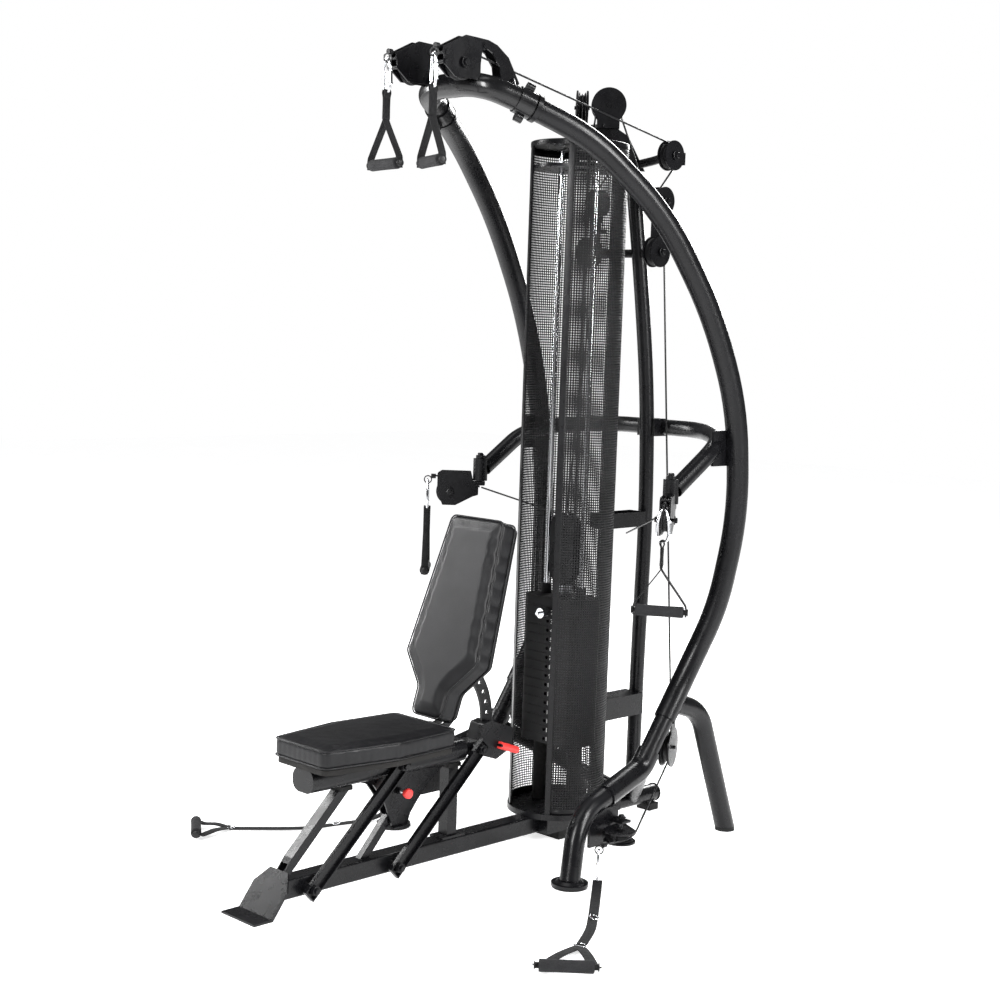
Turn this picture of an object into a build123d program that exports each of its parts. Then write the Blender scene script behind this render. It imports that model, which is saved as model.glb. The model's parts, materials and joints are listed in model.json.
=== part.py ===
from build123d import *
import os
from math import asin, atan2, cos, hypot, radians, sin, tan

# Multi station home gym: two bowed arches carry a nose with two high pulleys, a hoop with two
# swivelling mid pulleys and two low pulleys, round a guided weight stack, with a bench in front.
# Millimetres. +Z up, +X to the machine's right, +Y to its back. The origin is on the floor, on
# the plane of symmetry, in the middle of the footplate's lip.

os.makedirs("parts", exist_ok=True)

# ---------------------------------------------------------------- driving dimensions
ARCH_OD = 60.0
ARCH_WALL = 3.0
SPIGOT_OD = 51.0
LEG_OD = 54.0
REAR_LEG_OD = 56.0
HOOP_OD = 46.0
COLUMN_OD = 42.0
THIN_WALL = 2.5
FIT = 0.1                     # radial gap of a tube in its socket
CLEAR = 0.5                   # gap between pieces that move past each other

RAIL_W = 52.0
RAIL_BOTTOM = 27.0
RAIL_TOP = 75.0

TOWER_Y = 1070.0
TOWER_R = 133.0
SHROUD_T = 2.0
TOWER_BOTTOM = 91.0
TOWER_TOP = 1922.0
CAP_T = 14.0
PANEL_HALF_GAP = 30.0         # degrees from the front to the edge of the mesh panels
TRIM_SPAN = 6.0               # degrees covered by the trim strip along that edge
TRIM_T = 5.0

ROD_X = 65.0
ROD_OD = 16.0
PLATE_W = 196.0
PLATE_D = 118.0
PLATE_T = 25.0
PLATE_PITCH = 25.5
STACK_BOTTOM = 270.0
RESTING_PLATES = 14
HEAD_T = 28.0

HIGH_PULLEY = Vector(85, 528, 2058)
HIGH_PULLEY_R = 42.0
MID_SWIVEL = Vector(357, 1082, 990)
MID_RIGHT_TURN = -12.0         # degrees that the right mid block is turned from the left one's mirror
MID_ARM = 88.0                # from the swivel axis to the pulley's axle
MID_DROP = 52.0
MID_PULLEY_R = 39.0
LOW_SWIVEL = Vector(348, 948, 116)
LOW_PULLEY = Vector(382, 903, 116)
LOW_PULLEY_R = 38.0
PULLEY_W = 18.0
FALL_X = 32.6                 # the two cable falls down to the floating pulley
AXLE_R = 5.0

HANDLE_DROP = 264.0           # from the carabiner's top to the grip's axis
CARABINER_L = 92.0
GRIP_L = 124.0
GRIP_OD = 29.0
WEB_W = 25.0
WEB_T = 4.0

PIVOT_Z = 45.0                # the bench links' lower axes
LINK_RUN = 281.0
LINK_RISE = 263.0
MID_LINK_Y = 160.0
REAR_LINK_Y = 435.0
LINK_X = 48.0                 # centre of each bench link
LINK_T = 12.0
LINK_W = 36.0
TUBE_W = 80.0                 # bench tube
TUBE_BOTTOM = 276.0
TUBE_TOP = 336.0
SEAT_TOP = 400.0
SEAT_T = 50.0
LEVER_PIVOT = Vector(30.5, 804, 302)
LEVER_OD = 20.0
RIDE_PIN = Vector(0, 451, 236)
BACK_HINGE = Vector(0, 600, 372)
BACK_TILT = 18.2
BACK_L = 540.0
BACK_T = 56.0
QUADRANT_R = 182.0            # the circle of holes in the back's quadrant


# ---------------------------------------------------------------- helpers
def save(name, *shapes):
    solids = [s for shape in shapes for s in shape.solids()]
    body = solids[0] if len(solids) == 1 else Compound(children=solids)
    export_step(body, f"parts/{name}.step")


def mirrored(shape):
    return mirror(shape, about=Plane.YZ)


def both(shape):
    return [shape, mirrored(shape)]


def bend_radii(points, share=0.45):
    """The largest arc at each corner that uses this share of the shorter run beside it."""
    radii = []
    for before, corner, after in zip(points, points[1:], points[2:]):
        run_in = Vector(*corner) - Vector(*before)
        run_out = Vector(*after) - Vector(*corner)
        half_turn = radians(run_in.get_angle(run_out)) / 2
        radii.append(share * min(run_in.length, run_out.length) / tan(half_turn))
    return radii


def rod(points, od, share=0.45):
    """A solid round bar along straight runs joined by arcs."""
    if len(points) == 2:
        path = Line(*points)
    else:
        path = FilletPolyline(*points, radius=bend_radii(points, share))
    section = Plane(origin=path @ 0, z_dir=path % 0) * Circle(od / 2)
    return sweep(section, path=path)


def pipe(points, od, wall, share=0.45):
    """A round tube along straight runs joined by arcs."""
    if len(points) == 2:
        path = Line(*points)
    else:
        path = FilletPolyline(*points, radius=bend_radii(points, share))
    section = Plane(origin=path @ 0, z_dir=path % 0) * (Circle(od / 2) - Circle(od / 2 - wall))
    return sweep(section, path=path)


def between(a, b, t):
    return tuple(Vector(*a) + (Vector(*b) - Vector(*a)) * t)


def cylinder(centre, axis, r, length):
    """A cylinder with its middle at centre."""
    frame = Plane(origin=tuple(centre), z_dir=axis)
    return frame * Cylinder(r, length)


def washer(centre, axis, r_out, r_in, length):
    return cylinder(centre, axis, r_out, length) - cylinder(centre, axis, r_in, length + 2)


def slab(points, plane, thickness, round_r=0):
    """A plate of an outline in a plane, centred on the plane."""
    outline = make_face(Polyline(*points, close=True))
    if round_r:
        outline = fillet(outline.vertices(), round_r)
    return extrude(plane * outline, thickness / 2, both=True)


def stadium(length, width, thickness):
    """A round-ended plate along X, centred, in the XY plane."""
    return extrude(SlotOverall(length, width), thickness / 2, both=True)


def sheave(r, width, bore):
    """A grooved pulley about Z, centred."""
    groove = 0.22 * r
    lip = 0.08 * width
    profile = make_face(
        Polyline(
            (bore, -width / 2),
            (r, -width / 2),
            (r, -width / 2 + lip),
            (r - groove, -3.5),
            (r - groove, 3.5),
            (r, width / 2 - lip),
            (r, width / 2),
            (bore, width / 2),
            close=True,
        )
    )
    return revolve(Plane.XZ * profile, axis=Axis.Z)


def sheave_at(centre, axis, r, width=PULLEY_W, bore=AXLE_R + 0.1):
    return Plane(origin=tuple(centre), z_dir=axis) * sheave(r, width, bore)


# ---------------------------------------------------------------- arches, nose and legs
ARCH_PATH = [
    (125, 630, 2001),
    (236, 855, 1902),
    (309, 1067, 1723),
    (349, 1236, 1470),
    (371, 1334, 1220),
    (365, 1369, 932),
    (334, 1337, 670),
    (288, 1280, 499),
    (283, 1097, 242),
]
ARCH_START = between(ARCH_PATH[1], ARCH_PATH[0], 0.80)
STEP_AT = between(ARCH_PATH[7], ARCH_PATH[8], 0.50)
SPIGOT_END = between(ARCH_PATH[7], ARCH_PATH[8], 0.93)
SOCKET_MOUTH = between(ARCH_PATH[7], ARCH_PATH[8], 0.83)

arch_run = [ARCH_START] + ARCH_PATH[1:8] + [STEP_AT]
arch = pipe(arch_run, ARCH_OD, ARCH_WALL)
arch_solid = rod(arch_run, ARCH_OD)
arch_direction = Vector(*ARCH_PATH[8]) - Vector(*ARCH_PATH[7])
spigot_length = (Vector(*SPIGOT_END) - Vector(*STEP_AT)).length
spigot_mid = between(STEP_AT, SPIGOT_END, 0.5)
spigot = washer(spigot_mid, arch_direction, SPIGOT_OD / 2, SPIGOT_OD / 2 - 3, spigot_length)
step_ring = washer(STEP_AT, arch_direction, ARCH_OD / 2, SPIGOT_OD / 2 - 3, 6)
arch = arch + step_ring + spigot
save("arch_right", arch)
save("arch_left", mirrored(arch))

nose_half = [(116, 612, 2005), (58, 590, 2017)]
nose_path = nose_half + [(-x, y, z) for x, y, z in reversed(nose_half)]
socket_back = between(ARCH_PATH[1], ARCH_PATH[0], 0.66)
socket_front = between(ARCH_PATH[1], ARCH_PATH[0], 0.82)
clamp_direction = Vector(*ARCH_PATH[0]) - Vector(*ARCH_PATH[1])
socket_mid = between(socket_back, socket_front, 0.5)
socket_length = (Vector(*socket_front) - Vector(*socket_back)).length
socket = washer(socket_mid, clamp_direction, ARCH_OD / 2 + 4.5, ARCH_OD / 2 + FIT, socket_length)
nose_start = between(ARCH_PATH[1], ARCH_PATH[0], 0.81)
nose_run = [nose_start] + nose_path + [(-nose_start[0], nose_start[1], nose_start[2])]
nose = pipe(nose_run, ARCH_OD + 1, 3.5) + socket + mirrored(socket)
ear = Plane(origin=socket_mid, x_dir=(0.91, -0.41, 0), z_dir=clamp_direction) * (
    Pos(0, 40, 0) * Cylinder(12, 20) + Pos(0, -40, 0) * Cylinder(12, 20)
)
ear = ear - cylinder(socket_mid, clamp_direction, ARCH_OD / 2 + 4, 200)
nose = nose + ear + mirrored(ear)
save("nose_tube", nose)

collar_at = between(ARCH_PATH[1], ARCH_PATH[0], 0.62)
collar = washer(collar_at, clamp_direction, ARCH_OD / 2 + 6, ARCH_OD / 2 + FIT, 12)
save("nose_collars", *both(collar))

LEG_PATH = [SOCKET_MOUTH, ARCH_PATH[8], (316, 812, 168), (339, 764, 12)]
leg = pipe(LEG_PATH, LEG_OD, 2.5)
leg = leg - cylinder(spigot_mid, arch_direction, SPIGOT_OD / 2 + FIT, spigot_length + 40)
sleeve_path = [SOCKET_MOUTH, ARCH_PATH[8], between(ARCH_PATH[8], LEG_PATH[2], 0.58)]
sleeve = pipe(sleeve_path, LEG_OD + 8, 4.2, 0.42)
flange = Pos(339, 764, 8) * Cylinder(48, 8) + Pos(339, 764, 14) * Cone(40, 30, 8)
leg = leg + sleeve + flange
leg = leg - cylinder(spigot_mid, arch_direction, SPIGOT_OD / 2 + FIT, spigot_length + 2)
low_mount = Pos(322, 905, 128) * Box(8, 110, 96)
low_ears = [Pos(342, LOW_SWIVEL.Y, LOW_SWIVEL.Z + z) * Box(48, 34, 6) for z in (-24, 24)]
low_mount = low_mount + low_ears - cylinder(LOW_SWIVEL, (0, 0, 1), 6.1, 80)
leg = leg + (low_mount - rod(LEG_PATH, LEG_OD - 4))
save("leg_right", leg)
save("leg_left", mirrored(leg))

REAR_LEG_PATH = [(286, 1215, 410), (289, 1335, 372), (283, 1488, 8)]
rear_leg = pipe(REAR_LEG_PATH, REAR_LEG_OD, THIN_WALL) - arch_solid
rear_leg = rear_leg - Pos(283, 1488, 0) * Box(200, 200, 24)
rear_leg = rear_leg.solids().sort_by(SortBy.VOLUME)[-1]
save("rear_legs", *both(rear_leg))

# ---------------------------------------------------------------- base, column and hoop
rail_l = 1250.0
rail_y = 75 + rail_l / 2
rail_z = (RAIL_BOTTOM + RAIL_TOP) / 2
rail_h = RAIL_TOP - RAIL_BOTTOM
rail_inside = Pos(0, rail_y, rail_z) * Box(RAIL_W - 6, rail_l - 6, rail_h - 6)
rail = Pos(0, rail_y, rail_z) * Box(RAIL_W, rail_l, rail_h)
rail = fillet(rail.edges().filter_by(Axis.Y), 5) - rail_inside
tail_solid = cylinder((0, 1412, 46), (0, 1, 0), 25, 182)
tail = tail_solid - cylinder((0, 1412, 46), (0, 1, 0), 22, 190)

leg_cutter = rod(sleeve_path, LEG_OD + 8.4, 0.42)
stretcher = pipe([(276, 1122, 250), (8, 1398, 52)], 42, THIN_WALL) - leg_cutter - tail_solid
stretcher = stretcher.solids().sort_by(SortBy.VOLUME)[-1]

foot_box = Pos(0, TOWER_Y, 51) * Box(120, 190, 46) - Pos(0, TOWER_Y, 51) * Box(112, 182, 50)
foot_box = foot_box - Pos(0, rail_y, rail_z) * Box(RAIL_W, rail_l, rail_h)
base_disc = Pos(0, TOWER_Y, 83) * Cylinder(TOWER_R + 3, 16)

# Two posts that the bench rests on: a raked one in front and an upright one behind.
FRONT_POST_FOOT = Vector(0, 87, 76)
FRONT_POST_TOP = Vector(0, 276, 263)
post_run = FRONT_POST_TOP - FRONT_POST_FOOT
post_mid = (FRONT_POST_FOOT + FRONT_POST_TOP) * 0.5
front_post = Plane(origin=post_mid, x_dir=(1, 0, 0), z_dir=post_run) * (
    Box(30, 25, post_run.length + 30) - Box(25, 20, post_run.length + 40)
)
front_post = front_post - Pos(0, 100, 37.5) * Box(200, 300, 75)
front_post = front_post - Pos(0, 300, TUBE_BOTTOM - 12 + 50) * Box(200, 300, 100)
front_post = front_post.solids().sort_by(SortBy.VOLUME)[-1]
rear_post = Pos(0, 650, (RAIL_TOP + TUBE_BOTTOM - 12) / 2) * (
    Box(34, 34, TUBE_BOTTOM - 12 - RAIL_TOP) - Box(28, 28, TUBE_BOTTOM)
)
rear_post_foot = Pos(0, 650, RAIL_TOP + 3) * Box(50, 80, 6) - Pos(0, 650, RAIL_TOP + 3) * Box(28, 28, 20)

pivot_bosses = [
    washer((RAIL_W / 2 + 7.5, y, PIVOT_Z), (1, 0, 0), 15, 8, 15) for y in (MID_LINK_Y, REAR_LINK_Y)
]

# A ladder bar leans from the rail up into the bench's gusset, for the ride pin's stops.
ladder = slab([(336, 70), (366, 70), (478, 196), (470, 236), (432, 236), (452, 200)], Plane.YZ, 18)
ladder = ladder + cylinder(RIDE_PIN, (1, 0, 0), 20, 18) - cylinder(RIDE_PIN, (1, 0, 0), 5.4, 40)
base = rail + tail + stretcher + mirrored(stretcher) + foot_box + base_disc
base = base + front_post + rear_post + rear_post_foot + pivot_bosses + ladder
for y in (MID_LINK_Y, REAR_LINK_Y):
    base = base - cylinder((0, y, PIVOT_Z), (1, 0, 0), 8, 120)

LIP_L = 56.0
footplate_flat = Pos(0, -30 + LIP_L / 2, 2.5) * Box(130, LIP_L, 5)
ramp_plane = Plane(origin=(0, 24, 3), x_dir=(1, 0, 0), z_dir=(0, -91, 68))
footplate_ramp = slab([(-65, 0), (65, 0), (65, 72), (34, 116), (-34, 116), (-65, 72)], ramp_plane, 5)
footplate = footplate_flat + footplate_ramp
save("footplate", footplate)
base = base - ramp_plane * Pos(0, 60, 20) * Box(300, 300, 45.4)
base = Compound(children=[s for s in base.solids() if s.volume > 1000])
save("base_frame", base)

COLUMN_PATH = [
    (0, 1404, 60),
    (0, 1404, 480),
    (0, 1415, 880),
    (0, 1398, 1240),
    (0, 1350, 1560),
    (0, 1292, 1867),
]
column = pipe(COLUMN_PATH, COLUMN_OD, THIN_WALL) - base - tail_solid
column = column - Pos(0, 1292, 1887) * Box(90, 90, 40)
column_solid = rod(COLUMN_PATH, COLUMN_OD)
column = column.solids().sort_by(SortBy.VOLUME)[-1]
save("column", column)

HOOP_HALF = [(170, 1448, 1146), (308, 1342, 1133), (358, 1248, 1106), (357, 1098, 1008)]
hoop_path = [(-x, y, z) for x, y, z in reversed(HOOP_HALF)] + HOOP_HALF
hoop_solid = rod(hoop_path, HOOP_OD, 0.4)
hoop = pipe(hoop_path, HOOP_OD, THIN_WALL, 0.4)
hoop_barrel = Pos(MID_SWIVEL.X, MID_SWIVEL.Y, MID_SWIVEL.Z + 14) * Cylinder(21, 64)
hoop_barrel_bore = Pos(MID_SWIVEL.X, MID_SWIVEL.Y, MID_SWIVEL.Z + 14) * Cylinder(9, 110)
hoop = hoop - hoop_barrel - mirrored(hoop_barrel)
hoop = hoop + hoop_barrel + mirrored(hoop_barrel) - hoop_barrel_bore - mirrored(hoop_barrel_bore)
hoop = Compound(children=[s for s in hoop.solids() if s.volume > 1000])
save("mid_hoop", hoop)

hoop_bracket = Pos(352, 1296, 1112) * Box(8, 74, 96) + Pos(360, 1326, 1112) * Box(26, 22, 96)
hoop_bracket = hoop_bracket - arch_solid - hoop_solid
column_clamp = Pos(0, 1425, 1146) * Box(64, 54, 50) - column_solid - hoop_solid
tower_tie = Pos(0, 1300, 338) * (Box(70, 190, 62) - Box(62, 182, 54))
tower_tie = tower_tie - column_solid - Pos(0, TOWER_Y, 300) * Cylinder(TOWER_R + 0.4, 400)
cross_band = Pos(0, 1290, 882) * Box(60, 175, 42) - Pos(0, 1290, 882) * Box(54, 169, 60)
cross_band = cross_band - column_solid - Pos(0, TOWER_Y, 882) * Cylinder(TOWER_R + 0.4, 400)
brackets = [s for shape in (column_clamp, tower_tie, cross_band) for s in shape.solids() if s.volume > 1000]
brackets = brackets + [s for s in hoop_bracket.solids() if s.volume > 1000]
save("frame_brackets", *brackets, *[mirrored(s) for s in hoop_bracket.solids() if s.volume > 1000])

# ---------------------------------------------------------------- weight tower
def shell(r_out, thickness, z0, z1, half_gap, end=179.0):
    """The right half of a cylindrical cover, from half_gap degrees off the front round to end."""
    ring = Circle(r_out) - Circle(r_out - thickness)
    reach = 3 * r_out
    steps = 12
    angles = [radians(half_gap + (end - half_gap) * i / steps) for i in range(steps + 1)]
    wedge = make_face(
        Polyline((0, 0), *[(reach * sin(a), -reach * cos(a)) for a in angles], close=True)
    )
    return Pos(0, TOWER_Y, z0) * extrude(ring & wedge, z1 - z0)


panel_edge = PANEL_HALF_GAP + TRIM_SPAN
mesh = shell(TOWER_R, SHROUD_T, TOWER_BOTTOM, TOWER_TOP - CAP_T, panel_edge)
save("mesh_panels", *both(mesh))
trim = shell(TOWER_R, TRIM_T, TOWER_BOTTOM, TOWER_TOP - CAP_T, PANEL_HALF_GAP, panel_edge)
save("panel_trims", *both(trim))

cap_plate = Pos(0, TOWER_Y, TOWER_TOP - CAP_T / 2) * Cylinder(TOWER_R + 1, CAP_T)
cap_plate = fillet(cap_plate.edges().sort_by(Axis.Z)[-1], 4)
cap_lower = Pos(0, TOWER_Y, 1854) * Cylinder(TOWER_R - 6, 8)
cap_posts = [Pos(x, TOWER_Y + 60, 1883) * Cylinder(8, 50) for x in (-70, 70)]
rod_holes = [Pos(x, TOWER_Y, 1850) * Cylinder(ROD_OD / 2 + 0.05, 112) for x in (-ROD_X, ROD_X)]
cable_slot = Pos(0, TOWER_Y - 4, 1880) * Box(76, 48, 200)
cap = cap_plate + cap_lower + cap_posts - rod_holes - cable_slot
save("tower_cap", cap)

ROD_TOP = 1904.0
rod_z = (TOWER_BOTTOM + ROD_TOP) / 2
rods = [Pos(x, TOWER_Y, rod_z) * Cylinder(ROD_OD / 2, ROD_TOP - TOWER_BOTTOM) for x in (-ROD_X, ROD_X)]
save("guide_rods", *rods)

bumpers = [
    Pos(x, TOWER_Y, (TOWER_BOTTOM + STACK_BOTTOM) / 2)
    * (Cylinder(19, STACK_BOTTOM - TOWER_BOTTOM - 0.4) - Cylinder(ROD_OD / 2 + 0.4, 400))
    for x in (-ROD_X, ROD_X)
]
save("stack_bumpers", *bumpers)


def weight_plate(z_bottom, thickness):
    plate = Pos(0, TOWER_Y, z_bottom + thickness / 2) * Box(PLATE_W, PLATE_D, thickness)
    plate = fillet(plate.edges().filter_by(Axis.Z), 22)
    plate = chamfer(plate.faces().sort_by(Axis.Z)[-1].edges(), 1.2)
    middle = z_bottom + thickness / 2
    for x in (-ROD_X, ROD_X):
        plate = plate - Pos(x, TOWER_Y, middle) * Cylinder(ROD_OD / 2 + 1.0, thickness + 2)
    plate = plate - Pos(0, TOWER_Y, middle) * Cylinder(12.5, thickness + 2)
    return plate - cylinder((0, TOWER_Y - PLATE_D / 4, middle), (0, 1, 0), 5.2, PLATE_D / 2 + 2)


save("weight_stack", *[weight_plate(STACK_BOTTOM + i * PLATE_PITCH, PLATE_T) for i in range(RESTING_PLATES)])
lifted_z = STACK_BOTTOM + RESTING_PLATES * PLATE_PITCH
lifted_plate = weight_plate(lifted_z, PLATE_T)
head_z = lifted_z + PLATE_PITCH
head = Pos(0, TOWER_Y, head_z + HEAD_T / 2) * Box(PLATE_W, PLATE_D, HEAD_T)
head = fillet(head.edges().filter_by(Axis.Z), 22)
head = head + [Pos(x, TOWER_Y, head_z + HEAD_T + 14) * Cylinder(15, 28) for x in (-ROD_X, ROD_X)]
head = head - [Pos(x, TOWER_Y, head_z) * Cylinder(ROD_OD / 2 + 0.1, 200) for x in (-ROD_X, ROD_X)]
head = head - Pos(0, TOWER_Y, head_z) * Cylinder(10.05, 200)
save("head_plate", head, lifted_plate)

PIN_Z = lifted_z + PLATE_T / 2
stem_top = head_z + HEAD_T + 18
stem_bottom = STACK_BOTTOM + 14
stem = Pos(0, TOWER_Y, (stem_top + stem_bottom) / 2) * Cylinder(10, stem_top - stem_bottom)
for i in range(RESTING_PLATES + 1):
    stem = stem - cylinder((0, TOWER_Y, STACK_BOTTOM + i * PLATE_PITCH + PLATE_T / 2), (0, 1, 0), 5.2, 40)
stem = stem + Pos(0, TOWER_Y, stem_top + 2) * Box(34, 34, 22)
save("selector_stem", stem)

pin = cylinder((0, TOWER_Y - 48, PIN_Z), (0, 1, 0), 4.8, 114)
pin = pin + cylinder((0, TOWER_Y - 82, PIN_Z), (0, 1, 0), 14, 20)
pin = pin + cylinder((0, TOWER_Y - 69, PIN_Z), (0, 1, 0), 7, 8)
save("selector_pin", pin)

FLOAT_Z = 815.0
FLOAT_L = 200.0
FLOAT_W = 88.0
FLOAT_PULLEY_Z = FLOAT_Z + 52
float_plane = Plane(origin=(0, TOWER_Y - 14, FLOAT_Z), x_dir=(0, 0, 1), z_dir=(0, 1, 0))
float_cheek = float_plane * stadium(FLOAT_L, FLOAT_W, 4)
float_other = Pos(0, 28, 0) * float_cheek
float_axle = cylinder((0, TOWER_Y, FLOAT_PULLEY_Z), (0, 1, 0), AXLE_R, 40)
float_foot = Pos(0, TOWER_Y, FLOAT_Z - 72) * Box(40, 24, 40)
float_hanger = Pos(0, TOWER_Y, (stem_top + 13 + FLOAT_Z - 92) / 2) * Cylinder(8, FLOAT_Z - 92 - stem_top - 13)
floating = float_cheek + float_other + float_axle + float_foot + float_hanger
save("floating_block", floating)
save("floating_pulley", sheave_at((0, TOWER_Y, FLOAT_PULLEY_Z), (0, 1, 0), 38))

# ---------------------------------------------------------------- top bridge and idlers
TOP_PULLEY = Vector(49, 1125, 2026)
TOP_PULLEY_R = 42.0
TOP_AXIS = (1, -1, 0)
beam_outline = [(1075, 1923), (1092, 1962), (1120, 1974), (1190, 1974), (1238, 1958), (1316, 1868)]
beam_outline = beam_outline + [(1268, 1868), (1205, 1923)]
beam = slab(beam_outline, Plane.YZ, 50)
beam = beam - slab([(1100, 1930), (1115, 1958), (1225, 1950), (1280, 1885), (1212, 1932)], Plane.YZ, 42)
beam = beam - column_solid
housing_frame = Plane(origin=tuple(TOP_PULLEY), x_dir=(1, 1, 0), z_dir=TOP_AXIS)
cheek = housing_frame * (Pos(0, 0, 14) * Cylinder(47, 4) + Pos(0, 0, -14) * Cylinder(47, 4))
pedestal = housing_frame * (Pos(0, -44, 14) * Box(60, 34, 4) + Pos(0, -44, -14) * Box(60, 34, 4))
web = housing_frame * Pos(0, -53, 0) * Box(60, 12, 32)
axle = housing_frame * Cylinder(AXLE_R, 42)
housing = cheek + pedestal + web + axle
base_block = Pos(0, 1133, 1971) * Box(110, 64, 8)
fall_way = rod([(23.5, 1099.5, 2010), (23.5, 1099.5, 1990), (FALL_X, TOWER_Y, 1878)], 10)
bridge = beam + housing + mirrored(housing) + base_block - fall_way - mirrored(fall_way)
save("top_bridge", bridge)
top_pulley = housing_frame * sheave(TOP_PULLEY_R, PULLEY_W, AXLE_R + 0.1)
save("top_pulley_right", top_pulley)
save("top_pulley_left", mirrored(top_pulley))

OUT_PULLEY = Vector(114, 1319, 1908)
OUT_R = 37.0
MIDWAY_PULLEY = Vector(118, 1283, 1781)
LOWER_IDLER = Vector(124, 1262, 1640)
MIDWAY_R = 34.0
LOWER_IDLER_R = 38.0
DEAD_END = Vector(100, 1290, 1716)    # where the top pulley's cable is made fast


def cheeks(centre, axis, r, gap, thickness=4.0):
    return [
        cylinder(centre + Vector(*axis).normalized() * (side * (gap + thickness) / 2), axis, r, thickness)
        for side in (-1, 1)
    ]


GAP = PULLEY_W + 4
idler = rod([(20, 1296, 1886), (70, 1308, 1896), (OUT_PULLEY.X - 13, OUT_PULLEY.Y, OUT_PULLEY.Z)], 24)
idler = idler + cheeks(OUT_PULLEY, (1, 0, 0), OUT_R + 4, GAP) + cylinder(OUT_PULLEY, (1, 0, 0), AXLE_R, 44)
idler = idler + Pos(OUT_PULLEY.X, OUT_PULLEY.Y + 42, OUT_PULLEY.Z - 6) * Box(30, 8, 34)
idler = idler - beam - column_solid - cylinder(OUT_PULLEY, (1, 0, 0), OUT_R + 2, PULLEY_W + 1)
idler = idler + cylinder(OUT_PULLEY, (1, 0, 0), AXLE_R, 44)
lower = rod([(0, 1338, 1640), (60, 1320, 1640), (LOWER_IDLER.X - 13, LOWER_IDLER.Y, LOWER_IDLER.Z)], 24)
lower = lower + cheeks(LOWER_IDLER, (1, 0, 0), LOWER_IDLER_R + 4, GAP)
strap_z = (LOWER_IDLER.Z + MIDWAY_PULLEY.Z) / 2
lower = lower + Pos(LOWER_IDLER.X - 13, LOWER_IDLER.Y + 10, strap_z) * Box(4, 40, 120)
lower = lower + cheeks(MIDWAY_PULLEY, (1, 0, 0), MIDWAY_R + 4, GAP)
lower = lower + cylinder(DEAD_END - Vector(-2, 4, 14), (1, 0, 0), 6, 24)
for at, r in ((LOWER_IDLER, LOWER_IDLER_R), (MIDWAY_PULLEY, MIDWAY_R)):
    lower = lower - cylinder(at, (1, 0, 0), r + 1, PULLEY_W + 1) + cylinder(at, (1, 0, 0), AXLE_R, 44)
lower = lower - column_solid
REDIRECT = Vector(268, 1230, 280)
REDIRECT_R = 52.0
REDIRECT_ALONG = Vector(141, -298, 0).normalized()
REDIRECT_AXIS = Vector(298, 141, 0).normalized()
rear_leg_solid = rod(REAR_LEG_PATH, REAR_LEG_OD)
redirect = cheeks(REDIRECT, REDIRECT_AXIS, REDIRECT_R + 3, GAP)
redirect = redirect + [cylinder(REDIRECT, REDIRECT_AXIS, AXLE_R, 44)]
redirect_plane = Plane(origin=tuple(REDIRECT), x_dir=REDIRECT_ALONG, z_dir=REDIRECT_AXIS)
upward = 60 if redirect_plane.y_dir.Z > 0 else -60
redirect = Compound(children=redirect) + [
    redirect_plane * Pos(8, upward, side * 13) * Box(44, 110, 4) for side in (-1, 1)
]
spigot_solid = cylinder(spigot_mid, arch_direction, SPIGOT_OD / 2, spigot_length)
step_solid = cylinder(STEP_AT, arch_direction, ARCH_OD / 2, 6)
redirect = redirect - arch_solid - rear_leg_solid - leg_cutter - spigot_solid - step_solid
redirect = Compound(children=[s for s in redirect.solids() if s.volume > 500])
idler_parts = [s for shape in (idler, lower, redirect) for s in shape.solids()]
save("idler_brackets", *idler_parts, *[mirrored(s) for s in idler_parts])
idlers = [
    sheave_at(OUT_PULLEY, (1, 0, 0), OUT_R),
    sheave_at(MIDWAY_PULLEY, (1, 0, 0), MIDWAY_R),
    sheave_at(LOWER_IDLER, (1, 0, 0), LOWER_IDLER_R),
    sheave_at(REDIRECT, REDIRECT_AXIS, REDIRECT_R),
]
save("idler_pulleys", *idlers, *[mirrored(p) for p in idlers])

# ---------------------------------------------------------------- high, mid and low stations
nose_solid = rod(nose_run, ARCH_OD + 1.4)
nose_solid = nose_solid + cylinder(socket_mid, clamp_direction, ARCH_OD / 2 + 5, socket_length)
high_outline = [(466, 2046), (458, 2086), (534, 2124), (580, 2123), (611, 2122), (642, 2114), (683, 2089)]
high_outline = high_outline + [(724, 2030), (700, 2012), (660, 2022), (653, 2063), (627, 2092), (608, 2100)]
high_outline = high_outline + [(590, 2094), (586, 2062), (586, 2021), (500, 2021)]
high_cheek = slab(high_outline, Plane.YZ, 4, 2.5)
high = Pos(HIGH_PULLEY.X - 13, 0, 0) * high_cheek + Pos(HIGH_PULLEY.X + 13, 0, 0) * high_cheek
high = high + cylinder(HIGH_PULLEY, (1, 0, 0), AXLE_R, 44)
high_pins = ((468, 2074), (466, 2052), (596, 2105))
high = high + [cylinder((HIGH_PULLEY.X, y, z), (1, 0, 0), 5, 30) for y, z in high_pins]
high = high + rod([(98, 700, 2036), (134, 672, 2004)], 14)
high = high - nose_solid - mirrored(nose_solid)
high = high - rod([(85, 528, 2094), (114, 1319, 1942)], 8)
high = Compound(children=[s for s in high.solids() if s.volume > 1000])
save("high_brackets", *both(high))
high_pulley = sheave_at(HIGH_PULLEY, (1, 0, 0), HIGH_PULLEY_R)
save("high_pulley_right", high_pulley)
save("high_pulley_left", mirrored(high_pulley))

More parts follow.
